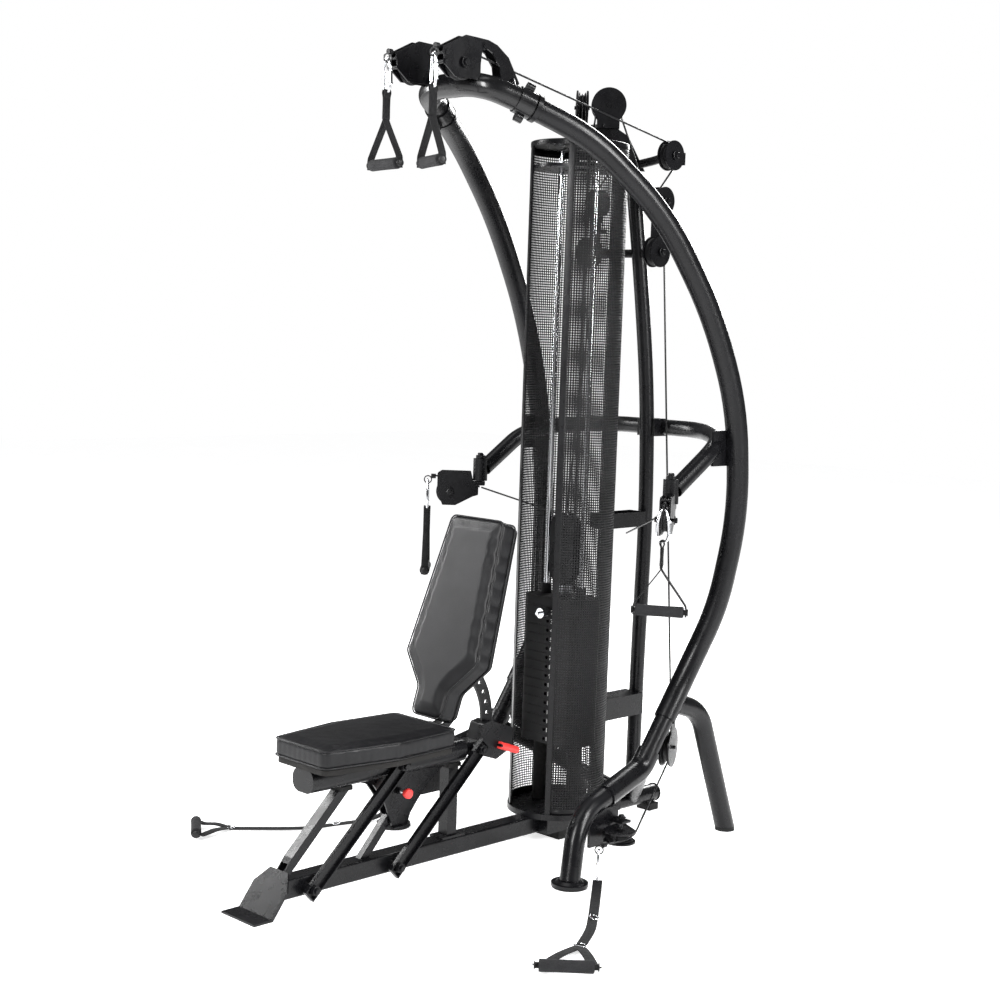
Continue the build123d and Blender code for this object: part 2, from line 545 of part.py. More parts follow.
MID_OUT = Vector(1, -1, 0).normalized()
MID_AXIS = Vector(1, 1, 0).normalized()
MID_PULLEY = MID_SWIVEL + MID_OUT * MID_ARM - Vector(0, 0, MID_DROP)
mid_plane = Plane(origin=(MID_SWIVEL.X, MID_SWIVEL.Y, 0), x_dir=MID_OUT, z_dir=(MID_OUT.Y, -MID_OUT.X, 0))
mid_outline = [(4, 930), (4, 958), (-15, 958), (-15, 969), (20, 969), (27, 998), (112, 998)]
mid_outline = mid_outline + [(124, 990), (124, 940), (108, 898), (70, 898), (20, 925)]
mid_cheek = slab(mid_outline, mid_plane, 4, 3)
side_step = mid_plane.z_dir * 13
mid_block = mid_cheek.moved(Location(tuple(side_step))) + mid_cheek.moved(Location(tuple(side_step * -1)))
mid_block = mid_block + mid_plane * Pos(3, 964, 0) * Box(36, 5, 26)
mid_block = mid_block - cylinder(MID_PULLEY, MID_AXIS, MID_PULLEY_R + 2, PULLEY_W + 1)
mid_block = mid_block + cylinder(MID_PULLEY, MID_AXIS, AXLE_R, 44)
mid_block = mid_block + [mid_plane * Pos(x, z, 0) * Cylinder(4, 28) for x, z in ((116, 991), (34, 926))]
mid_block = mid_block + Pos(MID_SWIVEL.X, MID_SWIVEL.Y, 1004.5) * Cylinder(8.95, 79)
mid_block = mid_block + Pos(MID_SWIVEL.X, MID_SWIVEL.Y, 1040.5) * Cylinder(14, 7)
mid_tip = MID_SWIVEL + MID_OUT * 130
mid_end = rod([(MID_SWIVEL.X, MID_SWIVEL.Y, 953), (mid_tip.X, mid_tip.Y, 982)], 5)
mid_end = mid_end + cylinder(MID_SWIVEL + MID_OUT * 136 - Vector(0, 0, 10), MID_OUT, 7, 14)
MID_EYE = MID_SWIVEL + MID_OUT * 152 - Vector(0, 0, 20)
mid_end = mid_end + washer(MID_EYE, MID_AXIS, 12, 9, 4)
mid_turn = Pos(MID_SWIVEL.X, MID_SWIVEL.Y) * Rot(0, 0, MID_RIGHT_TURN) * Pos(-MID_SWIVEL.X, -MID_SWIVEL.Y)
save("mid_block_right", mid_turn * mid_block, mid_turn * mid_end)
save("mid_block_left", mirrored(mid_block), mirrored(mid_end))
mid_pulley = sheave_at(MID_PULLEY, MID_AXIS, MID_PULLEY_R)
save("mid_pulley_right", mid_turn * mid_pulley)
save("mid_pulley_left", mirrored(mid_pulley))

low_edges = (Pos(LOW_SWIVEL.X, LOW_SWIVEL.Y) * Circle(14)).edges()
low_edges = low_edges + (Pos(LOW_PULLEY.X, LOW_PULLEY.Y) * Circle(42)).edges()
low_face = make_hull(low_edges)
low_plate = extrude(low_face, 4)
low_block = Pos(0, 0, LOW_PULLEY.Z + 11) * low_plate + Pos(0, 0, LOW_PULLEY.Z - 15) * low_plate
low_block = low_block + cylinder(LOW_PULLEY, (0, 0, 1), AXLE_R, 44) + cylinder(LOW_SWIVEL, (0, 0, 1), 6, 66)
low_block = low_block + cylinder((LOW_PULLEY.X + 14, LOW_PULLEY.Y - 36, LOW_PULLEY.Z), (0, 0, 1), 3.5, 30)
low_block = low_block - rod([(300, 1180, 209), (409, 932, 122), (416, 890, 116)], 13)
save("low_block_right", low_block)
save("low_block_left", mirrored(low_block))
low_pulley = sheave_at(LOW_PULLEY, (0, 0, 1), LOW_PULLEY_R - 4)
save("low_pulley_right", low_pulley)
save("low_pulley_left", mirrored(low_pulley))

# ---------------------------------------------------------------- cables
CABLE_R = 2.5


def cable(points, radii):
    path = FilletPolyline(*points, radius=radii)
    return sweep(Plane(origin=path @ 0, z_dir=path % 0) * Circle(CABLE_R), path=path)


def tangent(a, b):
    """The straight run from circle a to circle b in the YZ plane; each is (x, y, z, signed radius)."""
    run = Vector(b[1] - a[1], b[2] - a[2])
    turn = atan2(run.Y, run.X) - asin((a[3] - b[3]) / run.length)
    start = Vector(a[1] - a[3] * sin(turn), a[2] + a[3] * cos(turn))
    return start, Vector(cos(turn), sin(turn))


def wrapped(circles):
    """Corners of a cable path that wraps each circle but the first and last, which are points."""
    runs = [tangent(a, b) for a, b in zip(circles, circles[1:])]
    corners = [circles[0][:3]]
    for circle, (p, d), (q, e) in zip(circles[1:], runs, runs[1:]):
        along = ((q.X - p.X) * e.Y - (q.Y - p.Y) * e.X) / (d.X * e.Y - d.Y * e.X)
        corners.append((circle[0], p.X + d.X * along, p.Y + d.Y * along))
    return corners + [circles[-1][:3]]


def groove(r):
    return 0.78 * r + CABLE_R + 0.3


top_reach = groove(TOP_PULLEY_R)
top_step = Vector(1, 1, 0).normalized() * top_reach
top_rear = TOP_PULLEY + top_step
top_front = TOP_PULLEY - top_step
top_line = cable(
    [
        tuple(DEAD_END),
        (top_rear.X, top_rear.Y, 1995),
        (top_rear.X, top_rear.Y, TOP_PULLEY.Z + top_reach),
        (top_front.X, top_front.Y, TOP_PULLEY.Z + top_reach),
        (top_front.X, top_front.Y, 1988),
        (FALL_X, TOWER_Y, 1880),
    ],
    [16, top_reach - 0.1, top_reach - 0.1, 40],
)
mid_line = rod([(MID_SWIVEL.X - 4, MID_SWIVEL.Y + 2.6, 951.6), (33, 1292, 846)], 2 * CABLE_R)
low_entry = Vector(409, 932, 122)
redirect_groove = groove(REDIRECT_R)
to_entry = low_entry - REDIRECT
reach = to_entry.dot(REDIRECT_ALONG)
exit_angle = atan2(to_entry.Z, reach) + asin(redirect_groove / hypot(reach, to_entry.Z))
fall_foot = REDIRECT - REDIRECT_ALONG * redirect_groove
corner_drop = to_entry.Z - (reach + redirect_groove) * tan(exit_angle)
side_circles = [
    (HIGH_PULLEY.X, 456, 2089, 0),
    (HIGH_PULLEY.X, HIGH_PULLEY.Y, HIGH_PULLEY.Z, groove(HIGH_PULLEY_R)),
    (OUT_PULLEY.X, OUT_PULLEY.Y, OUT_PULLEY.Z, groove(OUT_R)),
    (MIDWAY_PULLEY.X, MIDWAY_PULLEY.Y, MIDWAY_PULLEY.Z, -groove(MIDWAY_R)),
    (LOWER_IDLER.X, LOWER_IDLER.Y, LOWER_IDLER.Z, groove(LOWER_IDLER_R)),
    (fall_foot.X, fall_foot.Y, REDIRECT.Z + corner_drop, 0),
]
side_line = cable(
    wrapped(side_circles) + [tuple(low_entry), (416, 890, 116), (402, 824, 114)],
    [abs(c[3]) for c in side_circles[1:-1]] + [redirect_groove, 30, 20],
)
stops = [cylinder((85, 450, 2088.5), (0, 1, 0), 7, 12), cylinder((402, 819, 113.5), (0, 1, 0), 7, 12)]
line_parts = [top_line, mid_line, side_line] + stops
EYES = [
    ((85, 443, 2072), (117, -43, 0)),
    ((-85, 443, 2072), (128, -21, 0)),
    ((402, 801, 104), (197, -250, 0)),
    ((-402, 801, 104), (-74, -264, 0)),
]
eyes = [washer(at, axis, 12, 9, 4) for at, axis in EYES]
save("station_cables", *line_parts, *[mirrored(p) for p in line_parts], *eyes)
FALL_TOP = 1877.0
fall_z = (FALL_TOP + FLOAT_PULLEY_Z) / 2
falls = [Pos(x, TOWER_Y, fall_z) * Cylinder(CABLE_R, FALL_TOP - FLOAT_PULLEY_Z) for x in (-FALL_X, FALL_X)]
save("stack_cables", *falls)

# ---------------------------------------------------------------- bench
seat_outline = [(-100, 141), (100, 141), (135, 353), (121, 564), (-121, 564), (-135, 353)]
seat_face = fillet(make_face(Polyline(*seat_outline, close=True)).vertices(), 26)
seat_pad = Pos(0, 0, SEAT_TOP - SEAT_T) * extrude(seat_face, SEAT_T)
seat_pad = fillet(seat_pad.faces().sort_by(Axis.Z)[-1].edges(), 9)
save("seat_pad", seat_pad)
seat_board = Pos(0, 0, TUBE_TOP + 0.4) * extrude(offset(seat_face, -7), SEAT_TOP - SEAT_T - TUBE_TOP - 0.8)
save("seat_board", seat_board)

tilt = radians(BACK_TILT)
back_up = Vector(0, sin(tilt), cos(tilt))
back_front = Vector(0, -cos(tilt), sin(tilt))
back_plane = Plane(origin=tuple(BACK_HINGE), x_dir=(1, 0, 0), z_dir=tuple(back_front))
side_plane = Plane(origin=tuple(BACK_HINGE), x_dir=tuple(back_up), z_dir=(1, 0, 0))
back_half = [(58, 20), (60, 96), (135, 178), (99, 20 + BACK_L)]
back_outline = back_half + [(-x, y) for x, y in reversed(back_half)]
back_face = fillet(make_face(Polyline(*back_outline, close=True)).vertices(), 24)
back_pad = Pos(0, 0, -2.4) * extrude(back_face, BACK_T)
back_pad = fillet(back_pad.faces().sort_by(Axis.Z)[-1].edges(), 10)
save("back_pad", back_plane * back_pad)

back_board = back_plane * Pos(0, 0, -13) * extrude(offset(back_face, -8), 10)
spine = side_plane * Pos(230, -25, 0) * (Box(400, 24, 40) - Box(394, 18, 34))
spine = spine - back_plane * Pos(0, 0, 37) * Box(400, 1400, 100)
ear_outline = [(-12, 10), (-12, -10), (30, -37), (130, -37), (130, -13), (24, -13), (11, 6)]
back_ears = [slab(ear_outline, side_plane.offset(side * 16.5), 5, 4) for side in (-1, 1)]
back_boss = cylinder(BACK_HINGE, (1, 0, 0), 11, 38)
quadrant_band = extrude(Circle(QUADRANT_R + 18) - Circle(QUADRANT_R - 20), 4, both=True)
sector_rim = [(400 * cos(radians(a)), 400 * sin(radians(a))) for a in range(-15, 76, 15)]
sector = make_face(Polyline((0, 0), *sector_rim, close=True))
quadrant = Plane(origin=tuple(BACK_HINGE), x_dir=(0, 1, 0), z_dir=(1, 0, 0)) * (
    (quadrant_band & extrude(sector, 10, both=True))
    - [Rot(0, 0, 5.6 + 9.5 * i) * Pos(QUADRANT_R, 0, 0) * Cylinder(6.5, 20) for i in range(-1, 5)]
)
quadrant = quadrant - back_plane * Pos(0, 0, 76) * Box(400, 1400, 200)
back_frame = back_board + spine + back_ears + back_boss + quadrant - cylinder(BACK_HINGE, (1, 0, 0), 6.1, 60)
save("back_frame", back_frame)

tube_l = 676.0 - 158.0
tube_y = (676.0 + 158.0) / 2
tube_z = (TUBE_TOP + TUBE_BOTTOM) / 2
tube_plane = Plane(origin=(0, tube_y, tube_z), x_dir=(1, 0, 0), z_dir=(0, -1, 0))
tube_face = RectangleRounded(TUBE_W, TUBE_TOP - TUBE_BOTTOM, 26)
bench = extrude(tube_plane * tube_face, tube_l / 2, both=True)
tube_inside = RectangleRounded(TUBE_W - 6, TUBE_TOP - TUBE_BOTTOM - 6, 23)
bench = bench - extrude(tube_plane * tube_inside, tube_l / 2 - 4, both=True)
bench_rail = Pos(0, 716, 307) * (Box(50, 96, 32) - Box(44, 200, 26))
housing_outline = [(735, 284), (800, 262), (858, 286), (864, 340), (776, 371), (748, 366), (735, 323)]
rear_housing = slab(housing_outline, Plane.YZ, 50, 5)
housing_inside = [(739, 290), (800, 267), (853, 290), (859, 336), (776, 366), (751, 361), (739, 320)]
rear_housing = rear_housing - slab(housing_inside, Plane.YZ, 42)
arc_frame = Plane(origin=tuple(BACK_HINGE), x_dir=(0, 1, 0), z_dir=(1, 0, 0))
arc_slot = arc_frame * extrude(Circle(QUADRANT_R + 20) - Circle(QUADRANT_R - 22), 6, both=True)
hinge_ears = [Pos(side * 24, 600, 353) * Box(6, 28, 40) for side in (-1, 1)]
hinge_ears = hinge_ears + [cylinder((side * 24, 600, 372), (1, 0, 0), 14, 6) for side in (-1, 1)]
gusset_outline = [(320, 278), (372, 262), (410, 213), (440, 140), (488, 136)]
gusset_outline = gusset_outline + [(500, 168), (524, 198), (562, 238), (618, 278)]
gusset = [slab(gusset_outline, Plane.YZ.offset(side * 14.5), 5) for side in (-1, 1)]
gusset_foot = [Pos(side * 20, 464, 139) * Box(16, 56, 6) for side in (-1, 1)]
pin_sleeve = cylinder(RIDE_PIN + Vector(25, 0, 0), (1, 0, 0), 9, 18)
bench = bench + bench_rail + rear_housing - arc_slot + hinge_ears + gusset + gusset_foot + pin_sleeve
bench = bench + cylinder(BACK_HINGE, (1, 0, 0), 6, 60)
bench = bench + cylinder(LEVER_PIVOT + Vector(2, 0, 0), (1, 0, 0), 4, 20)
link_bosses = [
    cylinder((LINK_X - LINK_T / 2 - 13, REAR_LINK_Y + LINK_RUN, PIVOT_Z + LINK_RISE), (1, 0, 0), 14, 25),
    cylinder((28, MID_LINK_Y + LINK_RUN, PIVOT_Z + LINK_RISE), (1, 0, 0), 14, 26),
]
bench = bench + link_bosses
bench = bench - cylinder(RIDE_PIN, (1, 0, 0), 5.1, 120)
bench = bench - cylinder((30, MID_LINK_Y + LINK_RUN, PIVOT_Z + LINK_RISE), (1, 0, 0), 8.0, 60)
bench = bench - cylinder((30, REAR_LINK_Y + LINK_RUN, PIVOT_Z + LINK_RISE), (1, 0, 0), 8.3, 60)
save("bench_frame", bench)


def bench_link(y):
    """One side link, with its two axles."""
    low = Vector(LINK_X, y, PIVOT_Z)
    high = low + Vector(0, LINK_RUN, LINK_RISE)
    run = high - low
    body = Plane(origin=tuple((low + high) * 0.5), x_dir=tuple(run), z_dir=(1, 0, 0)) * (
        Box(run.length + 44, LINK_W, LINK_T) - Pos(0, 0, 3) * Box(run.length + 38, LINK_W - 6, LINK_T)
    )
    body = body + [cylinder(end, (1, 0, 0), 13, LINK_T) for end in (low, high)]
    lower_axle = cylinder((15, low.Y, low.Z), (1, 0, 0), 7.95, 78)
    upper_axle = cylinder((34, high.Y, high.Z), (1, 0, 0), 7.95, 40)
    heads = [cylinder(end + Vector(LINK_T / 2 + 3, 0, 0), (1, 0, 0), 11, 6) for end in (low, high)]
    return body + lower_axle + upper_axle + heads


save("ride_link_mid", bench_link(MID_LINK_Y))
save("ride_link_rear", bench_link(REAR_LINK_Y))

lever_end = Vector(LEVER_PIVOT.X, 870, 279)
lever = cylinder(LEVER_PIVOT, (1, 0, 0), 10, 9) + rod([LEVER_PIVOT, lever_end], LEVER_OD)
lever = lever + Pos(lever_end.X, lever_end.Y, lever_end.Z) * Sphere(LEVER_OD / 2)
lever = lever - cylinder(LEVER_PIVOT, (1, 0, 0), 4.1, 60)
lever = lever - Pos(20, 830, 290) * Box(11, 300, 200)
save("release_lever", lever)

ride_pin = cylinder(RIDE_PIN + Vector(30.5, 0, 0), (1, 0, 0), 5, 39)
knob = cylinder(RIDE_PIN + Vector(58, 0, 0), (1, 0, 0), 13, 18)
ride_pin = ride_pin + fillet(knob.edges().filter_by(GeomType.CIRCLE), 4)
save("ride_pin", ride_pin)

feet = [Pos(x, 764, 1.6) * Cylinder(46, 2.8) for x in (-339, 339)]
feet = feet + [Pos(x, 1488, 6) * Cylinder(28, 11.6) for x in (-283, 283)]
feet = feet + [Pos(0, 1480, 10.3) * Box(50, 40, 20.2), cylinder((0, 1505.2, 46), (0, 1, 0), 27, 4)]
feet = feet + [Pos(0, TOWER_Y, 13.4) * Box(100, 70, 26.4)]
feet = feet + [Pos(0, 281, 269.7) * Box(44, 36, 11.2), Pos(0, 650, 269.7) * Box(44, 44, 11.2)]
save("rubber_feet", *feet)


# ---------------------------------------------------------------- handles
def handle_frame(top, grip_axis):
    """Local frame of a hanging handle: X along the grip, Y up, origin at the carabiner's top."""
    side = Vector(*grip_axis).normalized()
    return Plane(origin=tuple(top), x_dir=tuple(side), z_dir=(side.Y, -side.X, 0))


def hanging_handle(top, grip_axis):
    frame = handle_frame(top, grip_axis)
    carabiner = Pos(0, -CARABINER_L / 2, 0) * Rot(0, 0, 90) * (
        stadium(CARABINER_L, 42, 8) - stadium(CARABINER_L - 16, 26, 12)
    )
    split = -HANDLE_DROP + 108
    half = GRIP_L / 2 + 3
    band = make_face(
        Polyline(
            (-4, -CARABINER_L + 14),
            (4, -CARABINER_L + 14),
            (6, split),
            (half + WEB_T, -HANDLE_DROP + 12),
            (half + WEB_T, -HANDLE_DROP - 12),
            (half, -HANDLE_DROP - 12),
            (half, -HANDLE_DROP + 12),
            (0, split - 9),
            (-half, -HANDLE_DROP + 12),
            (-half, -HANDLE_DROP - 12),
            (-half - WEB_T, -HANDLE_DROP - 12),
            (-half - WEB_T, -HANDLE_DROP + 12),
            (-6, split),
            close=True,
        )
    )
    strap = extrude(band, WEB_W / 2, both=True) - Pos(0, -HANDLE_DROP, 0) * Rot(0, 90, 0) * Cylinder(7.1, 200)
    strap = strap - Pos(0, -CARABINER_L + 4, 0) * Box(60, 8.6, 9)
    strap = strap - carabiner
    return frame * carabiner, frame * strap


def grip_at(centre, axis):
    frame = Plane(origin=tuple(centre), z_dir=axis)
    foam = fillet(Cylinder(GRIP_OD / 2, GRIP_L).edges().filter_by(GeomType.CIRCLE), 4)
    core = Cylinder(7.0, GRIP_L + 22)
    caps = Pos(0, 0, GRIP_L / 2 + 10) * Cylinder(10, 4) + Pos(0, 0, -GRIP_L / 2 - 10) * Cylinder(10, 4)
    return frame * (foam + core + caps)


def turned(v):
    """A level direction turned with the right mid block."""
    return Vector(v).rotate(Axis.Z, MID_RIGHT_TURN)


eye_step = MID_EYE - MID_SWIVEL
right_eye = MID_SWIVEL + turned(eye_step)
HANGERS = [
    ("high_left", (-85, 443, 2076), (128, -21, 0)),
    ("high_right", (85, 443, 2076), (117, -43, 0)),
    ("mid_left", (-MID_EYE.X, MID_EYE.Y, MID_EYE.Z + 4), (-1, 1, 0)),
    ("mid_right", (right_eye.X, right_eye.Y, right_eye.Z + 4), tuple(turned(MID_AXIS))),
]
for name, top, grip_axis in HANGERS:
    save(name + "_handle", *hanging_handle(top, grip_axis))
    save(name + "_grip", grip_at(Vector(*top) - Vector(0, 0, HANDLE_DROP), grip_axis))


def ribbon(start, end, z=0.6):
    """A flat strap lying between two points of the floor, with round ends."""
    run = Vector(end[0] - start[0], end[1] - start[1], 0)
    middle = ((start[0] + end[0]) / 2, (start[1] + end[1]) / 2, z)
    frame = Plane(origin=middle, x_dir=tuple(run), z_dir=(0, 0, 1))
    return frame * extrude(SlotOverall(run.length + WEB_W, WEB_W), WEB_T)


def floor_handle(hook, knots, grip_ends):
    """The handle of a low pulley: its carabiner hangs and the rest lies on the floor."""
    axis = Vector(*grip_ends[1]) - Vector(*grip_ends[0])
    middle = (Vector(*grip_ends[0]) + Vector(*grip_ends[1])) * 0.5
    half = axis.normalized() * (GRIP_L / 2 + 5)
    side = Vector(knots[0][0] - hook[0], knots[0][1] - hook[1], 0).normalized()
    frame = Plane(origin=hook, x_dir=tuple(side), z_dir=(side.Y, -side.X, 0))
    carabiner = frame * Pos(0, -CARABINER_L / 2, 0) * Rot(0, 0, 90) * (
        stadium(CARABINER_L, 42, 8) - stadium(CARABINER_L - 16, 26, 12)
    )
    strap = ribbon((hook[0], hook[1]), knots[0])
    for a, b in zip(knots, knots[1:]):
        strap = strap + ribbon(a, b)
    for sign in (-1, 1):
        end = middle + half * sign
        strap = strap + ribbon(knots[-1], (end.X, end.Y))
    grip = grip_at((middle.X, middle.Y, GRIP_OD / 2 + 5.2), axis)
    return [carabiner, strap - carabiner, grip]


low_right = floor_handle((402, 800, 108), [(599, 550), (651, 458)], [(699, 277, 0), (780, 355, 0)])
low_left = floor_handle((-402, 800, 108), [(-476, 536), (-600, 385)], [(-692, 337, 0), (-553, 240, 0)])
save("low_handles", *low_right, *low_left)
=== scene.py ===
import json
from math import atan2, cos, pi, radians, sin, tan

import bmesh
import bpy
from mathutils import Matrix, Vector
from mathutils.kdtree import KDTree


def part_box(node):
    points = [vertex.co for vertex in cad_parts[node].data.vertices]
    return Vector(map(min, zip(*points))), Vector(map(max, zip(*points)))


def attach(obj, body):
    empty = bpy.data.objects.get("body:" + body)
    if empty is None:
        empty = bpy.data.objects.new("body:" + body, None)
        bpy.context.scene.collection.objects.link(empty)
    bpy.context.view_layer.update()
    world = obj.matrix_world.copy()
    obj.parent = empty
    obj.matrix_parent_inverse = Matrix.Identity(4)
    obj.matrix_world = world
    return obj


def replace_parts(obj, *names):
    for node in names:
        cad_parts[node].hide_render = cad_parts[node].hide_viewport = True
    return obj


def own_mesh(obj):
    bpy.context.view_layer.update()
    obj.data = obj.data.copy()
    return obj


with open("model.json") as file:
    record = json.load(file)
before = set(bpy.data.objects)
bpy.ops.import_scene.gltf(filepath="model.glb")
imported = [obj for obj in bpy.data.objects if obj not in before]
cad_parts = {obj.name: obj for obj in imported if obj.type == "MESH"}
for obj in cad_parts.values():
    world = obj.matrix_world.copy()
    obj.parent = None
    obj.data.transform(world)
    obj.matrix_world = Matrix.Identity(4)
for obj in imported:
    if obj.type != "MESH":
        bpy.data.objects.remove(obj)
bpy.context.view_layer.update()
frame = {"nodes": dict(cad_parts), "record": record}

NODES = frame["nodes"]


# ---------------------------------------------------------------- camera, floor and light
CAMERA_AT = (3.1448, -2.3803, 1.4085)
CAMERA_TURN = (radians(44.62), radians(5.71), radians(1.956))  # azimuth, pitch down, roll
LENS_MM, SENSOR_MM = 60.85, 36
CLIP_END = 60

AMBIENT = 0.14
AREA_LIGHTS = (  # name, place, target, width and height, power
    ("key", (1.2, -3.4, 3.2), (0, 0.7, 0.9), (0.9, 2.6), 260),
    ("side", (3.6, 1.6, 2.6), (0, 0.9, 1.0), (0.7, 2.8), 230),
    ("left", (-3.4, -1.0, 2.4), (0, 0.8, 1.0), (0.7, 2.8), 190),
    ("rear", (-1.2, 4.0, 2.8), (0, 0.9, 1.0), (0.9, 2.6), 150),
)
SUN_POWER = 0.8
SUN_SPREAD = radians(40)
SUN_TURN = (radians(14), radians(-12), 0)
FLOOR_REACH = 14
FLOOR_Z = -0.0005


def camera():
    """The photograph's viewpoint."""
    azimuth, pitch, roll = CAMERA_TURN
    look = Vector((-sin(azimuth) * cos(pitch), cos(azimuth) * cos(pitch), -sin(pitch)))
    level = Vector((cos(azimuth), sin(azimuth), 0))
    up = level.cross(look)
    right = level * cos(roll) + up * sin(roll)
    up = up * cos(roll) - level * sin(roll)
    data = bpy.data.cameras.new("camera")
    data.lens = LENS_MM
    data.sensor_width = SENSOR_MM
    data.clip_end = CLIP_END
    obj = bpy.data.objects.new("camera", data)
    turn = Matrix((right, up, -look)).transposed().to_4x4()
    obj.matrix_world = Matrix.Translation(CAMERA_AT) @ turn
    bpy.context.collection.objects.link(obj)
    bpy.context.scene.camera = obj


def area_light(name, at, target, size, power):
    data = bpy.data.lights.new(name, "AREA")
    data.shape = "RECTANGLE"
    data.size, data.size_y = size
    data.energy = power
    obj = bpy.data.objects.new(name, data)
    aim = (Vector(target) - Vector(at)).to_track_quat("-Z", "Y")
    obj.matrix_world = Matrix.Translation(at) @ aim.to_matrix().to_4x4()
    bpy.context.collection.objects.link(obj)


def studio():
    """Soft lights round the object, a white backdrop for the camera alone, and the floor."""
    world = bpy.data.worlds.new("studio")
    bpy.context.scene.world = world
    world.use_nodes = True
    nodes = world.node_tree.nodes
    links = world.node_tree.links
    light = nodes["Background"]
    light.inputs["Color"].default_value = (1, 1, 1, 1)
    light.inputs["Strength"].default_value = AMBIENT
    paper = nodes.new("ShaderNodeBackground")
    paper.inputs["Color"].default_value = (1, 1, 1, 1)
    seen = nodes.new("ShaderNodeLightPath")
    mix = nodes.new("ShaderNodeMixShader")
    links.new(seen.outputs["Is Camera Ray"], mix.inputs["Fac"])
    links.new(light.outputs["Background"], mix.inputs[1])
    links.new(paper.outputs["Background"], mix.inputs[2])
    links.new(mix.outputs["Shader"], nodes["World Output"].inputs["Surface"])
    bpy.context.scene.view_settings.view_transform = "Standard"
    for row in AREA_LIGHTS:
        area_light(*row)
    sun = bpy.data.lights.new("sun", "SUN")
    sun.energy = SUN_POWER
    sun.angle = SUN_SPREAD
    lamp = bpy.data.objects.new("sun", sun)
    lamp.rotation_euler = SUN_TURN
    bpy.context.collection.objects.link(lamp)
    mesh = bpy.data.meshes.new("floor")
    r = FLOOR_REACH
    corners = [(-r, -r, 0), (r, -r, 0), (r, r, 0), (-r, r, 0)]
    mesh.from_pydata(corners, [], [(0, 1, 2, 3)])
    floor = bpy.data.objects.new("floor", mesh)
    floor.location.z = FLOOR_Z
    bpy.context.collection.objects.link(floor)
    floor.data.materials.append(floor_material())


# ---------------------------------------------------------------- materials
class Shader:
    """A principled material with a few node shorthands."""

    def __init__(self, name, color, rough, metal=0.0, **sockets):
        self.mat = bpy.data.materials.new(name)
        self.mat.use_nodes = True
        self.nodes = self.mat.node_tree.nodes
        self.links = self.mat.node_tree.links
        self.shader = self.nodes["Principled BSDF"]
        self.color = color
        self.set("Base Color", (*color, 1))
        self.set("Roughness", rough)
        self.set("Metallic", metal)
        for key, value in sockets.items():
            self.set(key.replace("_", " "), value)
        self.coords = self.nodes.new("ShaderNodeTexCoord").outputs["Object"]

    def set(self, socket, value):
        self.shader.inputs[socket].default_value = value

    def noise(self, scale, detail=3.0, rough=0.5, stretch=(1, 1, 1)):
        mapping = self.nodes.new("ShaderNodeMapping")
        mapping.inputs["Scale"].default_value = stretch
        self.links.new(self.coords, mapping.inputs["Vector"])
        tex = self.nodes.new("ShaderNodeTexNoise")
        tex.inputs["Scale"].default_value = scale
        tex.inputs["Detail"].default_value = detail
        tex.inputs["Roughness"].default_value = rough
        self.links.new(mapping.outputs["Vector"], tex.inputs["Vector"])
        return tex.outputs["Fac"]

    def voronoi(self, scale):
        tex = self.nodes.new("ShaderNodeTexVoronoi")
        tex.inputs["Scale"].default_value = scale
        self.links.new(self.coords, tex.inputs["Vector"])
        return tex.outputs["Distance"]

    def wave(self, scale, turn):
        mapping = self.nodes.new("ShaderNodeMapping")
        mapping.inputs["Rotation"].default_value = turn
        self.links.new(self.coords, mapping.inputs["Vector"])
        tex = self.nodes.new("ShaderNodeTexWave")
        tex.inputs["Scale"].default_value = scale
        self.links.new(mapping.outputs["Vector"], tex.inputs["Vector"])
        return tex.outputs["Fac"]

    def span(self, value, low, high, start=0.3, end=0.7):
        """Maps a value's start..end to low..high."""
        ramp = self.nodes.new("ShaderNodeMapRange")
        ramp.inputs["From Min"].default_value = start
        ramp.inputs["From Max"].default_value = end
        ramp.inputs["To Min"].default_value = low
        ramp.inputs["To Max"].default_value = high
        self.links.new(value, ramp.inputs["Value"])
        return ramp.outputs["Result"]

    def combine(self, operation, a, b):
        node = self.nodes.new("ShaderNodeMath")
        node.operation = operation
        for i, value in enumerate((a, b)):
            if isinstance(value, (int, float)):
                node.inputs[i].default_value = value
            else:
                self.links.new(value, node.inputs[i])
        return node.outputs["Value"]

    def tint(self, value, dark, light, start=0.3, end=0.7):
        """Varies the base colour between a darker and a lighter multiple."""
        mix = self.nodes.new("ShaderNodeMix")
        mix.data_type = "RGBA"
        mix.inputs["A"].default_value = (*[c * dark for c in self.color], 1)
        mix.inputs["B"].default_value = (*[min(1, c * light) for c in self.color], 1)
        self.links.new(self.span(value, 0, 1, start, end), mix.inputs["Factor"])
        self.links.new(mix.outputs["Result"], self.shader.inputs["Base Color"])

    def roughness(self, value, low, high):
        self.links.new(self.span(value, low, high), self.shader.inputs["Roughness"])

    def bump(self, height, strength, distance):
        node = self.nodes.new("ShaderNodeBump")
        node.inputs["Strength"].default_value = strength
        node.inputs["Distance"].default_value = distance
        self.links.new(height, node.inputs["Height"])
        self.links.new(node.outputs["Normal"], self.shader.inputs["Normal"])


def powder_coat(name, color, low, high):
    """Painted steel: orange-peel grain, faint cloudiness and smears."""
    s = Shader(name, color, low, Specular_IOR_Level=0.24)
    s.tint(s.noise(7, 5), 0.75, 1.5)
    s.roughness(s.noise(22, 6, 0.65), low, high)
    s.bump(s.noise(900, 2), 0.25, 0.0004)
    return s.mat


def gloss_paint():
    s = Shader("dark_gloss", (0.003, 0.003, 0.0034), 0.2,
               Coat_Weight=0.2, Coat_Roughness=0.08, Specular_IOR_Level=0.3)
    s.tint(s.noise(5, 4), 0.8, 1.4)
    s.roughness(s.noise(14, 6, 0.6), 0.2, 0.32)
    s.bump(s.noise(500, 2), 0.12, 0.0003)
    return s.mat


